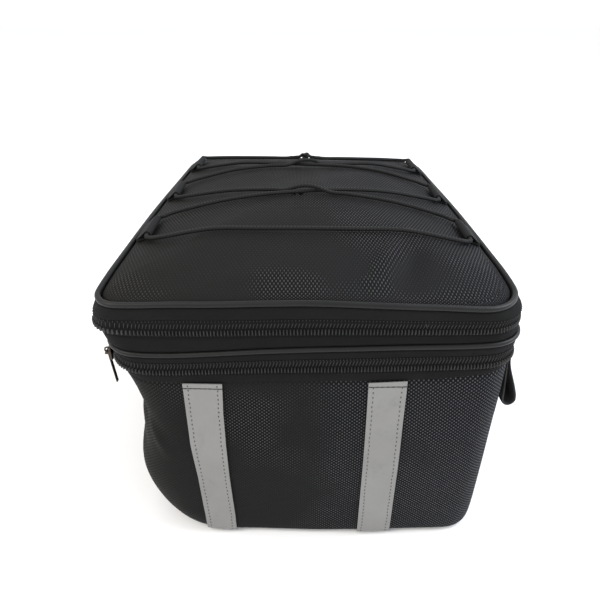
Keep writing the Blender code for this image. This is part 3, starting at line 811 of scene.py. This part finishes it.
def zip_tape():
    """Woven zip tape with fine upright ribs."""
    finish = Finish("zip_tape", (0.007, 0.007, 0.007), 0.7, specular=0.08)
    around, up = finish.cloth_map()
    ribs = (around / TAPE_PITCH).wave()
    weft = (up / (TAPE_PITCH * 0.6)).wave()
    cloud = finish.noise(60.0, 3.0)
    # Painted shade: the tape is darker between its ribs and lighter on their crests, varying at
    # random
    finish.set("Base Color", finish.mix(ribs * (0.5 + 0.5 * cloud), shade(0.0025), shade(0.010)))
    finish.bump(ribs + 0.4 * weft, 0.00014)
    return finish.material


def coil_nylon():
    """Black nylon of the zip's coil, satin with worn crests."""
    finish = Finish("coil_nylon", (0.012, 0.012, 0.013), 0.36, specular=0.3)
    cloud = finish.noise(160.0, 3.0)
    finish.set("Base Color", finish.mix(cloud, shade(0.009), shade(0.050)))
    finish.set("Roughness", 0.26 + 0.25 * cloud)
    return finish.material


def sewing_thread(name, level):
    """Twisted thread, matte."""
    finish = Finish(name, (level, level, level), 0.7, specular=0.15)
    twist = finish.noise(1800.0, 1.0)
    finish.set("Base Color", finish.mix(twist, shade(level * 0.6), shade(level * 1.5)))
    finish.bump(twist, 0.00010)
    return finish.material


def satin_piping():
    """Coated piping, satin, with fine drawn creases."""
    finish = Finish("satin_piping", (0.012, 0.012, 0.013), 0.36, specular=0.22)
    cloud = finish.noise(45.0, 4.0, 0.6)
    grain = finish.noise(700.0, 2.0)
    finish.set("Base Color", finish.mix(cloud, shade(0.004), shade(0.012)))
    finish.set("Roughness", 0.32 + 0.22 * cloud)
    finish.bump(cloud * 2.0 + grain, 0.00022, 0.6)
    return finish.material


def reflective_cloth():
    """Grey reflective coating on cloth: fine glass beads, faint threads, rubbed places."""
    finish = Finish("reflective_cloth", (0.36, 0.355, 0.345), 0.5, specular=0.3)
    height, over, _ = finish.weave(BEAD_PITCH, BEAD_PITCH)
    cloud = finish.noise(22.0, 5.0, 0.62)
    rubbed = finish.noise(70.0, 6.0, 0.7)
    beads = finish.noise(2600.0, 1.0)
    tone = finish.mix(cloud, (0.175, 0.171, 0.163, 1.0), (0.245, 0.243, 0.237, 1.0))
    dark = finish.node("ShaderNodeClamp", None, {0: (rubbed - 0.56) * 5.0})
    finish.set("Base Color", finish.mix(dark * 0.35, tone, (0.12, 0.12, 0.117, 1.0)))
    finish.set("Roughness", 0.42 + 0.2 * rubbed)
    finish.bump(height * 0.5 + beads * 0.5 + rubbed * 2.0, 0.00012, 0.8)
    return finish.material


def ribbed_webbing(name, across, pale=1.0):
    """Webbing with ribs along its length, spread over one axis of space; pale above 1 lightens it
    as painted light.
    """
    finish = Finish(name, (0.010, 0.010, 0.010), 0.75, specular=0.12)
    place = finish.object_place()
    side = finish.node("ShaderNodeSeparateXYZ", None, {"Vector": place}, across)
    ribs = (side / WEBBING_RIB).wave()
    cloud = finish.noise(90.0, 3.0)
    # Painted shade: darker between the ribs and lighter on their crests, varying at random
    woven = ribs * (0.4 + 0.6 * cloud)
    finish.set("Base Color", finish.mix(woven, shade(0.007 * pale), shade(0.017 * pale)))
    finish.bump(ribs * 0.5 + 0.7 * finish.noise(1200.0, 2.0) + cloud, 0.00026)
    return finish.material


def braided_elastic():
    """Braided cover of the elastic cord: two sets of yarns that cross."""
    finish = Finish("braided_elastic", (0.010, 0.010, 0.011), 0.6, specular=0.15)
    turn, run = finish.cloth_map()
    yarns = turn * BRAID_YARNS
    one = yarns + run / BRAID_PITCH
    two = yarns - run / BRAID_PITCH
    over = (one.floor() + two.floor()) % 2.0
    height = over * one.wave() + (1.0 - over) * two.wave()
    # Painted shade: the braid is darker where its yarns sink and lighter on their crests
    finish.set("Base Color", finish.mix(height, shade(0.004), shade(0.020)))
    finish.set("Roughness", 0.5 + 0.2 * over)
    finish.bump(height, 0.00025)
    return finish.material


def pull_fibre():
    """Dark brown fibres of the flat pull, paler where its end is fused."""
    finish = Finish("pull_fibre", (0.010, 0.008, 0.007), 0.8, specular=0.1)
    split = {"Vector": finish.object_place()}
    across = finish.node("ShaderNodeSeparateXYZ", None, split, 1)
    up = finish.node("ShaderNodeSeparateXYZ", None, split, 2)
    strands = (across / STRAND_PITCH).wave() * (0.3 + finish.noise(900.0, 3.0))
    fused = finish.node("ShaderNodeClamp", None, {0: (PULL_FUSED_BELOW - up) * 900.0})
    dark = (0.006, 0.0045, 0.0038, 1.0)
    # Painted shade: darker between the strands and lighter on their crests, varying at random
    tone = finish.mix(strands, dark, (0.034, 0.025, 0.020, 1.0))
    finish.set("Base Color", finish.mix(fused * 0.7, tone, (0.11, 0.095, 0.08, 1.0)))
    finish.bump(strands, 0.00020)
    return finish.material


def bronze_metal():
    """Darkened cast metal of the slider, its coating rubbed to a bronze tint."""
    finish = Finish("bronze_metal", (0.25, 0.22, 0.19), 0.3, metallic=1.0)
    cloud = finish.noise(260.0, 4.0, 0.6)
    tone = finish.mix(cloud, (0.018, 0.015, 0.012, 1.0), (0.105, 0.086, 0.070, 1.0))
    finish.set("Base Color", tone)
    finish.set("Roughness", 0.2 + 0.3 * cloud)
    finish.bump(cloud, 0.00010, 0.5)
    return finish.material


def set_camera():
    data = bpy.data.cameras.new("camera")
    data.sensor_width = SENSOR_WIDTH
    data.lens = FOCAL_PIXELS / PICTURE_PIXELS * SENSOR_WIDTH
    data.clip_start = 0.01
    camera = bpy.data.objects.new("camera", data)
    camera.location = CAMERA_PLACE
    camera.rotation_euler = (math.radians(90 - CAMERA_DOWN), 0.0, 0.0)
    bpy.context.scene.collection.objects.link(camera)
    bpy.context.scene.camera = camera


def set_light(name, place, size, power, colour):
    data = bpy.data.lights.new(name, "AREA")
    data.shape = "DISK"
    data.size = size
    data.energy = power
    data.color = colour
    light = bpy.data.objects.new(name, data)
    light.location = place
    toward = Vector(LAMP_AIM) - Vector(place)
    light.rotation_euler = toward.to_track_quat("-Z", "Y").to_euler()
    bpy.context.scene.collection.objects.link(light)


def set_studio():
    """A pale floor, an even pale surround and two soft lights."""
    bpy.ops.object.select_all(action="DESELECT")
    bpy.ops.mesh.primitive_plane_add(size=FLOOR_SIZE, location=(0.0, 2.0, 0.0))
    floor = bpy.context.object
    floor.name = "floor"
    pale = Finish("pale_floor", (0.93, 0.93, 0.93), 0.9, specular=0.1)
    floor.data.materials.append(pale.material)
    world = bpy.data.worlds.new("surround")
    world.use_nodes = True
    background = world.node_tree.nodes["Background"]
    background.inputs["Color"].default_value = SURROUND
    background.inputs["Strength"].default_value = SURROUND_STRENGTH
    bpy.context.scene.world = world
    for lamp in LAMPS:
        set_light(*lamp)
    bpy.context.scene.view_settings.view_transform = "Standard"


# Soft folds as start, end, width and rise: the body's by the way round from the near side's
# middle and the height, the lid's as seen from above
BODY_FOLDS = (
    ((-0.128, 0.125), (-0.104, 0.096), 0.006, -0.0032),
    ((-0.118, 0.118), (-0.096, 0.080), 0.005, 0.0022),
    ((-0.150, 0.118), (-0.118, 0.106), 0.005, -0.0020),
    ((-0.135, 0.085), (-0.118, 0.070), 0.010, -0.0016),
    ((0.092, 0.128), (0.118, 0.100), 0.008, -0.0012),
    ((-0.030, 0.132), (-0.010, 0.105), 0.012, -0.0007),
    ((0.010, 0.040), (0.030, 0.012), 0.014, -0.0008),
    ((-0.100, 0.020), (-0.060, 0.012), 0.010, 0.0010),
    ((0.170, 0.130), (0.205, 0.070), 0.009, -0.0024),
    ((0.196, 0.126), (0.230, 0.050), 0.010, 0.0018),
    ((0.330, 0.128), (0.290, 0.070), 0.010, -0.0022),
    ((0.250, 0.040), (0.320, 0.026), 0.012, -0.0018),
    ((-0.180, 0.125), (-0.215, 0.060), 0.009, -0.0024),
    ((-0.204, 0.120), (-0.245, 0.050), 0.010, 0.0018),
    ((-0.330, 0.126), (-0.300, 0.060), 0.010, -0.0022),
    ((-0.300, 0.034), (-0.230, 0.024), 0.012, -0.0018),
    ((0.410, 0.126), (0.440, 0.070), 0.010, -0.0020),
    ((-0.455, 0.124), (-0.425, 0.064), 0.010, -0.0020),
    ((0.500, 0.118), (0.520, 0.050), 0.014, 0.0014),
)
LID_FOLDS = (
    ((0.038, -0.128), (0.056, -0.092), 0.006, 0.0036),
    ((0.056, -0.132), (0.072, -0.092), 0.008, -0.0034),
    ((-0.060, -0.135), (-0.020, -0.118), 0.010, 0.0010),
    ((-0.095, -0.120), (-0.080, -0.060), 0.012, -0.0014),
    ((-0.030, -0.090), (0.020, -0.060), 0.018, -0.0012),
    ((-0.070, 0.010), (0.000, 0.040), 0.020, -0.0014),
    ((0.020, 0.020), (0.080, 0.060), 0.018, 0.0012),
    ((-0.050, 0.090), (0.040, 0.100), 0.016, -0.0010),
)

# Where the painted highlights on the coarse weave show more (+) or less (-): across, up or along,
# reach, gain
BODY_GLINT_SPOTS = (
    # On the body, the positive ones paint glinting patches beside the left strip; the negative ones
    # leave painted shade over the middle and the left
    (-0.038, 0.113, 0.030, 1.1),
    (-0.022, 0.082, 0.024, 0.7),
    (-0.002, 0.098, 0.032, -0.9),
    (-0.012, 0.050, 0.038, -0.9),
    (-0.085, 0.060, 0.050, -0.7),
    (0.060, 0.080, 0.060, 0.4),
)
# On the lid, the row of three paints a lit streak along the crease; the negative ones take the
# painted highlights away, leaving painted shade in the middle and right of the crease
LID_GLINT_SPOTS = (
    (-0.012, -0.138, 0.026, 0.9),
    (0.040, -0.132, 0.011, 1.1),
    (0.046, -0.118, 0.011, 1.1),
    (0.053, -0.104, 0.011, 1.1),
    (0.016, -0.112, 0.022, -0.7),
    (-0.070, -0.090, 0.055, -0.9),
    (-0.006, -0.085, 0.046, -1.1),
    (0.067, -0.118, 0.025, -1.4),
)


def close_base(piece):
    """Closes a skin's lower open edge with a flat base."""
    keys = open_keys(piece)
    points = piece.data.vertices

    def at_foot(edge):
        return edge.key in keys and points[edge.vertices[0]].co.z < 0.02

    choose(piece, "EDGE", at_foot)
    bpy.ops.mesh.edge_face_add()
    bpy.ops.mesh.select_mode(type="FACE")
    bpy.ops.mesh.inset(thickness=BASE_INSET)
    bpy.ops.mesh.poke()
    bpy.ops.mesh.select_all(action="SELECT")
    bpy.ops.mesh.normals_make_consistent(inside=False)
    leave_edit()


def dress_body(girth, cloth):
    """The open-topped body in coarse cloth, with its flat base."""

    def keep(face):
        return faces_out(face) or (face.normal.z < -0.3 and 0.0004 < face.center.z < 0.012)

    body = skin_of("body_shell", "body_cloth", keep)
    drape(body, girth)
    places = places_of(body)
    fold(body, BODY_FOLDS, girth.measure(places), places[:, 2])
    close_base(body)
    lay_out(body, girth)
    roll_edges(body)
    add_allowance(body, girth)
    wall(body, BODY_CLOTH)
    soft_shade(body)
    finish_piece(body, cloth, "ballistic_cloth", "bag", "body_shell")


def dress_lid(girth, cloth):
    """The domed lid in coarse cloth, with its soft creases."""

    def keep(face):
        return face.normal.z > 0.05 or faces_out(face)

    lid = copy_of("lid_panel", "lid_cloth")
    choose(lid, "FACE", lambda face: not keep(face))
    bpy.ops.mesh.delete(type="FACE")
    leave_edit()
    low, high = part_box("lid_panel")
    middle = (low + high) / 2
    reach = (high - low) * LID_CENTRE_SHARE

    def on_top(face):
        away = face.center - middle
        return abs(away.x) < reach.x and abs(away.y) < reach.y and face.normal.z > 0.99

    choose(lid, "FACE", on_top)
    bpy.ops.mesh.dissolve_faces()
    bpy.ops.mesh.poke()
    leave_edit()
    smooth(lid, SKIN_LEVELS)
    drape(lid, girth)
    places = places_of(lid)
    outward = normals_of(lid)
    fold(lid, LID_FOLDS, places[:, 0], places[:, 1])
    fall = (places[:, 2].max() - places[:, 2]) * LID_SPREAD
    spread = places[:, :2] + outward[:, :2] * fall[:, None]
    layer = lid.data.uv_layers.new(name="cloth")
    for loop in lid.data.loops:
        layer.data[loop.index].uv = spread[loop.vertex_index]
    wall(lid, LID_CLOTH)
    soft_shade(lid)
    finish_piece(lid, cloth, "ballistic_cloth", "bag", "lid_panel")


def dress_band(node, name, girth, cloth):
    """One plain band of the stack, with rolled edges."""
    band = skin_of(node, name, faces_out)
    drape(band, girth)
    lay_out(band, girth)
    roll_edges(band)
    add_allowance(band, girth)
    wall(band, BAND_CLOTH)
    soft_shade(band)
    finish_piece(band, cloth, "plain_cloth", "bag", node)


def coil_places(span, low, high):
    """Ways round the bag, a coil's pitch apart, with the zip's lower and upper edge at each."""
    count = int((high - low) / COIL_PITCH)
    for k in range(count):
        around = low + (k + 0.5) * (high - low) / count
        yield around, *span(around)


def dress_zip(name, girth, tape, nylon, thread, low, high):
    """A coil zip: woven tape, the coil's upright ribs, and the slanted sewing above them."""
    skin = skin_of(name, name + "_tape", faces_out)
    drape(skin, girth)
    lay_out(skin, girth)
    span = heights_of(skin, girth)
    tree = tree_of(skin)
    ribs = []
    chain = []
    dots = []
    half = COIL_PITCH / 2
    for around, foot, top in coil_places(span, low, high):
        for frames, shift, share, lean in (
            (ribs, 0.0, RIB_SHARE, 0.0),
            (chain, half, CHAIN_SHARE, CHAIN_LEAN),
            (dots, 0.0, DOT_SHARES[0], 0.0),
            (dots, half, DOT_SHARES[1], CHAIN_LEAN),
        ):
            height = foot + share * (top - foot)
            place, out = on_skin(tree, girth, around + shift, height)
            if place:
                frames.append(frame_at(place, out, lean + waver(3.0)))
    for frames, word, finish, pattern in (
        (ribs, "ribs", nylon, bar(RIB_RADIUS, RIB_HEIGHT, RIB_DEPTH / RIB_RADIUS)),
        (chain, "sewing", thread, stitch(CHAIN_STITCH)),
        (dots, "dots", thread, stitch(DOT_STITCH)),
    ):
        sew(name + "_" + word, pattern, frames, finish, "zip_tape")
    roll_edges(skin)
    add_allowance(skin, girth)
    wall(skin, ZIP_CLOTH)
    soft_shade(skin)
    finish_piece(skin, tape, "zip_tape", "bag", name)


def dress_piping(node, name, girth, satin, swell):
    """Piping: the solid's ring made round and smooth, and let out to its real thickness."""
    piece = copy_of(node, name)
    smooth(piece, SOLID_LEVELS)
    drape(piece, girth)
    choose(piece, "VERT", lambda vertex: True)
    bpy.ops.transform.shrink_fatten(value=swell)
    leave_edit()
    piece.data.shade_smooth()
    finish_piece(piece, satin, "piping", "bag", node)


def dress_tape(node, name, settle, cloth, thread, dark):
    """One upright of reflective tape, settled on the body, with its sewing on three sides."""
    low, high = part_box(node)
    near = (low.y + high.y) / 2

    def keep(face):
        return face.normal.y < -0.3 and abs(face.normal.x) < 0.7

    tape = skin_of(node, name, keep, STRIP_LEVELS)
    lay_flat(tape, 0, 2)
    places = places_of(tape)
    heights, left, right = zip(*settle)
    share = (places[:, 0] - low.x) / (high.x - low.x)
    shift = np.interp(places[:, 2], heights, left) * (1 - share)
    places[:, 0] += shift + np.interp(places[:, 2], heights, right) * share
    move_to(tape, places)
    tree = tree_of(tape)
    frames = []
    toward = Vector((0.0, 1.0, 0.0))
    facing = Vector((0.0, -1.0, 0.0))

    def on_tape(x, z):
        return tree.ray_cast(Vector((x, near - RAY_START, z)), toward)[0]

    for x, moves in ((low.x + STRIP_INSET, left), (high.x - STRIP_INSET, right)):
        for k in range(int((high.z - low.z) / STRIP_PITCH)):
            z = low.z + (k + 0.5) * STRIP_PITCH
            aside = np.interp(z, heights, moves) + waver(STRIP_WANDER)
            place = on_tape(x + aside, z)
            if place:
                frames.append(frame_at(place, facing, waver(5.0)))
    sew(name + "_sewing", stitch(STRIP_STITCH), frames, thread, "reflective_tape")
    frames = []
    wide = high.x - low.x + right[-1] - left[-1]
    count = int(wide / TOP_PITCH)
    for k in range(count):
        x = low.x + left[-1] + (k + 0.5) * wide / count
        place = on_tape(x, high.z - TOP_DROP)
        if place:
            frames.append(frame_at(place, facing, 90 + waver(4.0)))
    sew(name + "_top_seam", stitch(TOP_STITCH), frames, dark, "reflective_tape")
    wall(tape, STRIP_CLOTH)
    soft_shade(tape)
    finish_piece(tape, cloth, "reflective_tape", "bag", node)


def dress_webbing(node, name, webbing, thread):
    """A folded webbing loop with soft edges, sewn down beside the piping."""
    piece = copy_of(node, name)
    low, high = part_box(node)
    round_edges(piece, *LOOP_ROUND)
    smooth(piece, SOLID_LEVELS)
    tree = tree_of(piece)
    x = low.x + LOOP_SEAM if low.x < 0 else high.x - LOOP_SEAM
    down = Vector((0.0, 0.0, -1.0))
    frames = []
    for k in range(LOOP_STITCHES):
        y = low.y + (k + 1) * (high.y - low.y) / (LOOP_STITCHES + 1)
        place = tree.ray_cast(Vector((x, y, high.z + RAY_START)), down)[0]
        if place:
            turn = math.radians(90 + waver(5.0))
            frames.append(Matrix.Translation(place) @ Matrix.Rotation(turn, 4, "X"))
    sew(name + "_sewing", stitch(LOOP_STITCH), frames, thread, "webbing")
    soft_shade(piece, 60)
    finish_piece(piece, webbing, "webbing", "bag", node)


def dress_seam_loop(webbing, thread):
    """The folded loop under the seam: its two legs come together towards the top."""
    piece = copy_of("strap_loop", "seam_loop")
    low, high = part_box("strap_loop")
    round_edges(piece, *SEAM_LOOP_ROUND)
    smooth(piece, SOLID_LEVELS)
    places = places_of(piece)
    rise = places[:, 2] - low.z
    up = np.clip((rise - LEG_FOOT) / (high.z - low.z - LEG_FOOT), 0.0, 1.0)
    places[:, 0] = low.x + (places[:, 0] - low.x) * (LEG_SPREAD - LEG_CLOSING * up)
    places[:, 0] += LEG_RIPPLE * np.sin(rise * LEG_RIPPLE_TURN) * up
    middle = (low.y + high.y) / 2
    places[:, 1] = middle + (places[:, 1] - middle) * (1.0 - LEG_NARROWING * up)
    move_to(piece, places)
    tree = tree_of(piece)
    out = Vector((1.0, 0.0, 0.0))
    frames = []
    for drop in SEAM_LOOP_ROWS:
        for k in range(LOOP_STITCHES):
            y = middle + (k - LOOP_STITCHES // 2) * SEAM_LOOP_PITCH
            place = tree.ray_cast(Vector((high.x + RAY_START, y, high.z - drop)), -out)[0]
            if place:
                frames.append(frame_at(place, out, 90 + waver(5.0)))
    sew("seam_loop_sewing", stitch(SEAM_LOOP_STITCH), frames, thread, "webbing")
    soft_shade(piece, 60)
    finish_piece(piece, webbing, "webbing", "bag", "strap_loop")


def tube_line(node, start):
    """The middle line of a tube's solid, read ring by ring from the end nearest a place."""
    copy = copy_of(node, "line_of_" + node)
    mesh = copy.data
    beside = [set() for _ in mesh.vertices]
    for edge in mesh.edges:
        a, b = edge.vertices
        beside[a].add(b)
        beside[b].add(a)
    order = sorted(range(len(mesh.vertices)), key=lambda v: (mesh.vertices[v].co - start).length)
    ring = set(order[:8])
    seen = set(ring)
    line = []
    while ring:
        line.append(sum((mesh.vertices[v].co for v in ring), Vector()) / len(ring))
        ring = {v for u in ring for v in beside[u]} - seen
        seen |= ring
    bpy.data.objects.remove(copy, do_unlink=True)
    return line


def even_line(points, step):
    """A smooth line through points, with places a step apart."""
    fine = []
    count = len(points)
    for k in range(count - 1):
        a = points[max(k - 1, 0)]
        b = points[k]
        c = points[k + 1]
        d = points[min(k + 2, count - 1)]
        pieces = max(2, int((c - b).length / step))
        for n in range(pieces):
            t = n / pieces
            bend = (2 * a - 5 * b + 4 * c - d) * t * t
            twist = (3 * b - a - 3 * c + d) * t**3
            fine.append(0.5 * (2 * b + (c - a) * t + bend + twist))
    fine.append(points[-1])
    return fine


def dress_cord(elastic):
    """The elastic cord, its knot and its two free ends, in a braided cover."""
    low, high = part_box("cord_knot")
    knot = (low + high) / 2
    line = tube_line("lid_cord", Vector((low.x, knot.y, knot.z)))
    cord = tube("elastic_cord", even_line(line, CORD_STEP), CORD_RADIUS, CORD_SIDES)
    finish_piece(cord, elastic, "elastic", "bag", "lid_cord")
    for word in ("left", "right"):
        node = "cord_tail_" + word
        tail = tube_line(node, knot)
        piece = tube("cord_end_" + word, even_line(tail, CORD_STEP), CORD_RADIUS * 0.95, CORD_SIDES)
        finish_piece(piece, elastic, "elastic", "bag", node)
    turns = []
    wide, deep, tall = (share * TIE_REACH * (high.x - low.x) / 2 for share in TIE_SHARES)
    for k in range(TIE_POINTS):
        t = 2 * math.pi * k / TIE_POINTS
        x = wide * (math.sin(t) + 2 * math.sin(2 * t))
        y = -deep * math.sin(3 * t)
        z = tall * (math.cos(t) - 2 * math.cos(2 * t))
        turns.append(knot + Vector((x, y, z)))
    piece = tube("cord_tie", turns, CORD_RADIUS * 0.9, TIE_SIDES, closed=True)
    finish_piece(piece, elastic, "elastic", "bag", "cord_knot")


def dress_slider(node, name, metal):
    """A zip slider: its plate with rounded corners, and the bridge over it."""
    piece = copy_of(node, name)
    low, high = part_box(node)
    points = piece.data.vertices

    def at_corner(edge):
        a, b = (points[v].co for v in edge.vertices)
        across = abs(a.x - b.x) > 0.9 * (a - b).length
        side = min(a.y - low.y, high.y - a.y) < SLIDER_EDGE
        return across and side and min(a.z - low.z, high.z - a.z) < SLIDER_EDGE

    choose(piece, "EDGE", at_corner)
    bpy.ops.mesh.bevel(offset=SLIDER_CORNER, segments=4)
    leave_edit()
    round_edges(piece, *PLATE_ROUND)
    soft_shade(piece, 35)
    finish_piece(piece, metal, "slider_metal", "bag", node)


def dress_pull(metal, cloth):
    """The ring on the bridge and the flat woven pull that hangs from it."""
    ring = copy_of("pull_ring", "ring_wire")
    smooth(ring, SOLID_LEVELS)
    ring_low, ring_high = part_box("pull_ring")
    middle = tuple((ring_low + ring_high) / 2)
    choose(ring, "VERT", lambda vertex: True)
    bpy.ops.transform.shrink_fatten(value=RING_SWELL)
    bpy.ops.transform.resize(value=RING_STRETCH, center_override=middle)
    leave_edit()
    ring.data.shade_smooth()
    finish_piece(ring, metal, "slider_metal", "pull", "pull_ring")
    pull = copy_of("pull_strap", "woven_pull")
    strap_low, strap_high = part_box("pull_strap")
    top = (strap_low + strap_high) / 2
    top.z = strap_high.z
    choose(pull, "VERT", lambda vertex: True)
    bpy.ops.transform.resize(value=PULL_SHARES, center_override=tuple(top))
    leave_edit()
    round_edges(pull, *PULL_ROUND)
    soft_shade(pull, 60)
    finish_piece(pull, cloth, "pull_cord", "pull", "pull_strap")


set_camera()
set_studio()

# Coarse weaves: shine sets their painted highlights; the next two numbers scale their painted light
# on the left and on the right
body_weave = ballistic_cloth("body_weave", BODY_WEAVE, 0.090, 0.66, 1.16, BODY_GLINT_SPOTS, 2)
lid_weave = ballistic_cloth("lid_weave", LID_WEAVE, 0.070, 0.98, 0.98, LID_GLINT_SPOTS, 1)
plain = plain_cloth()
tape_cloth = zip_tape()
nylon = coil_nylon()
zip_thread = sewing_thread("zip_thread", 0.036)
tape_thread = sewing_thread("tape_thread", 0.050)
elastic = braided_elastic()
metal = bronze_metal()
webbing = ribbed_webbing("loop_webbing", 1)

reference = skin_of("lower_band", "girth_reference", faces_out, SOLID_LEVELS)
girth = Girth(rim_points(reference, False))
bpy.data.objects.remove(reference, do_unlink=True)

dress_body(girth, body_weave)
dress_lid(girth, lid_weave)
for node, name in (
    ("lower_band", "lower_cloth"),
    ("expansion_band", "expansion_cloth"),
    ("middle_band", "middle_cloth"),
    ("lid_band", "lid_side_cloth"),
    ("lid_hinge", "hinge_cloth"),
):
    dress_band(node, name, girth, plain)
half = girth.whole / 2
dress_zip("lower_zip", girth, tape_cloth, nylon, zip_thread, -half, half)
hinge_low, hinge_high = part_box("lid_hinge")
corners = np.array([(x, hinge_high.y, 0.0) for x in (hinge_low.x, hinge_high.x)])
dress_zip("upper_zip", girth, tape_cloth, nylon, zip_thread, *girth.measure(corners))
piping = satin_piping()
dress_piping("lower_piping", "second_piping", girth, piping, SECOND_SWELL)
dress_piping("lid_piping", "rim_piping", girth, piping, RIM_SWELL)
reflective = reflective_cloth()
dress_tape("tape_left", "left_strip", LEFT_SETTLE, reflective, tape_thread, zip_thread)
dress_tape("tape_right", "right_strip", RIGHT_SETTLE, reflective, tape_thread, zip_thread)
for side in ("left", "right"):
    for number in (1, 2, 3):
        word = "%s_%d" % (side, number)
        dress_webbing("cord_loop_" + word, "webbing_loop_" + word, webbing, tape_thread)
# The seam loop's webbing is made paler as painted light, so that its inside, lying in shade, shows
# mid-grey
dress_seam_loop(ribbed_webbing("seam_webbing_painted_light", 1, 3.4), tape_thread)
dress_cord(elastic)
dress_slider("zip_slider", "slider_body", metal)
dress_slider("upper_slider", "upper_slider_body", metal)
dress_pull(metal, pull_fibre())
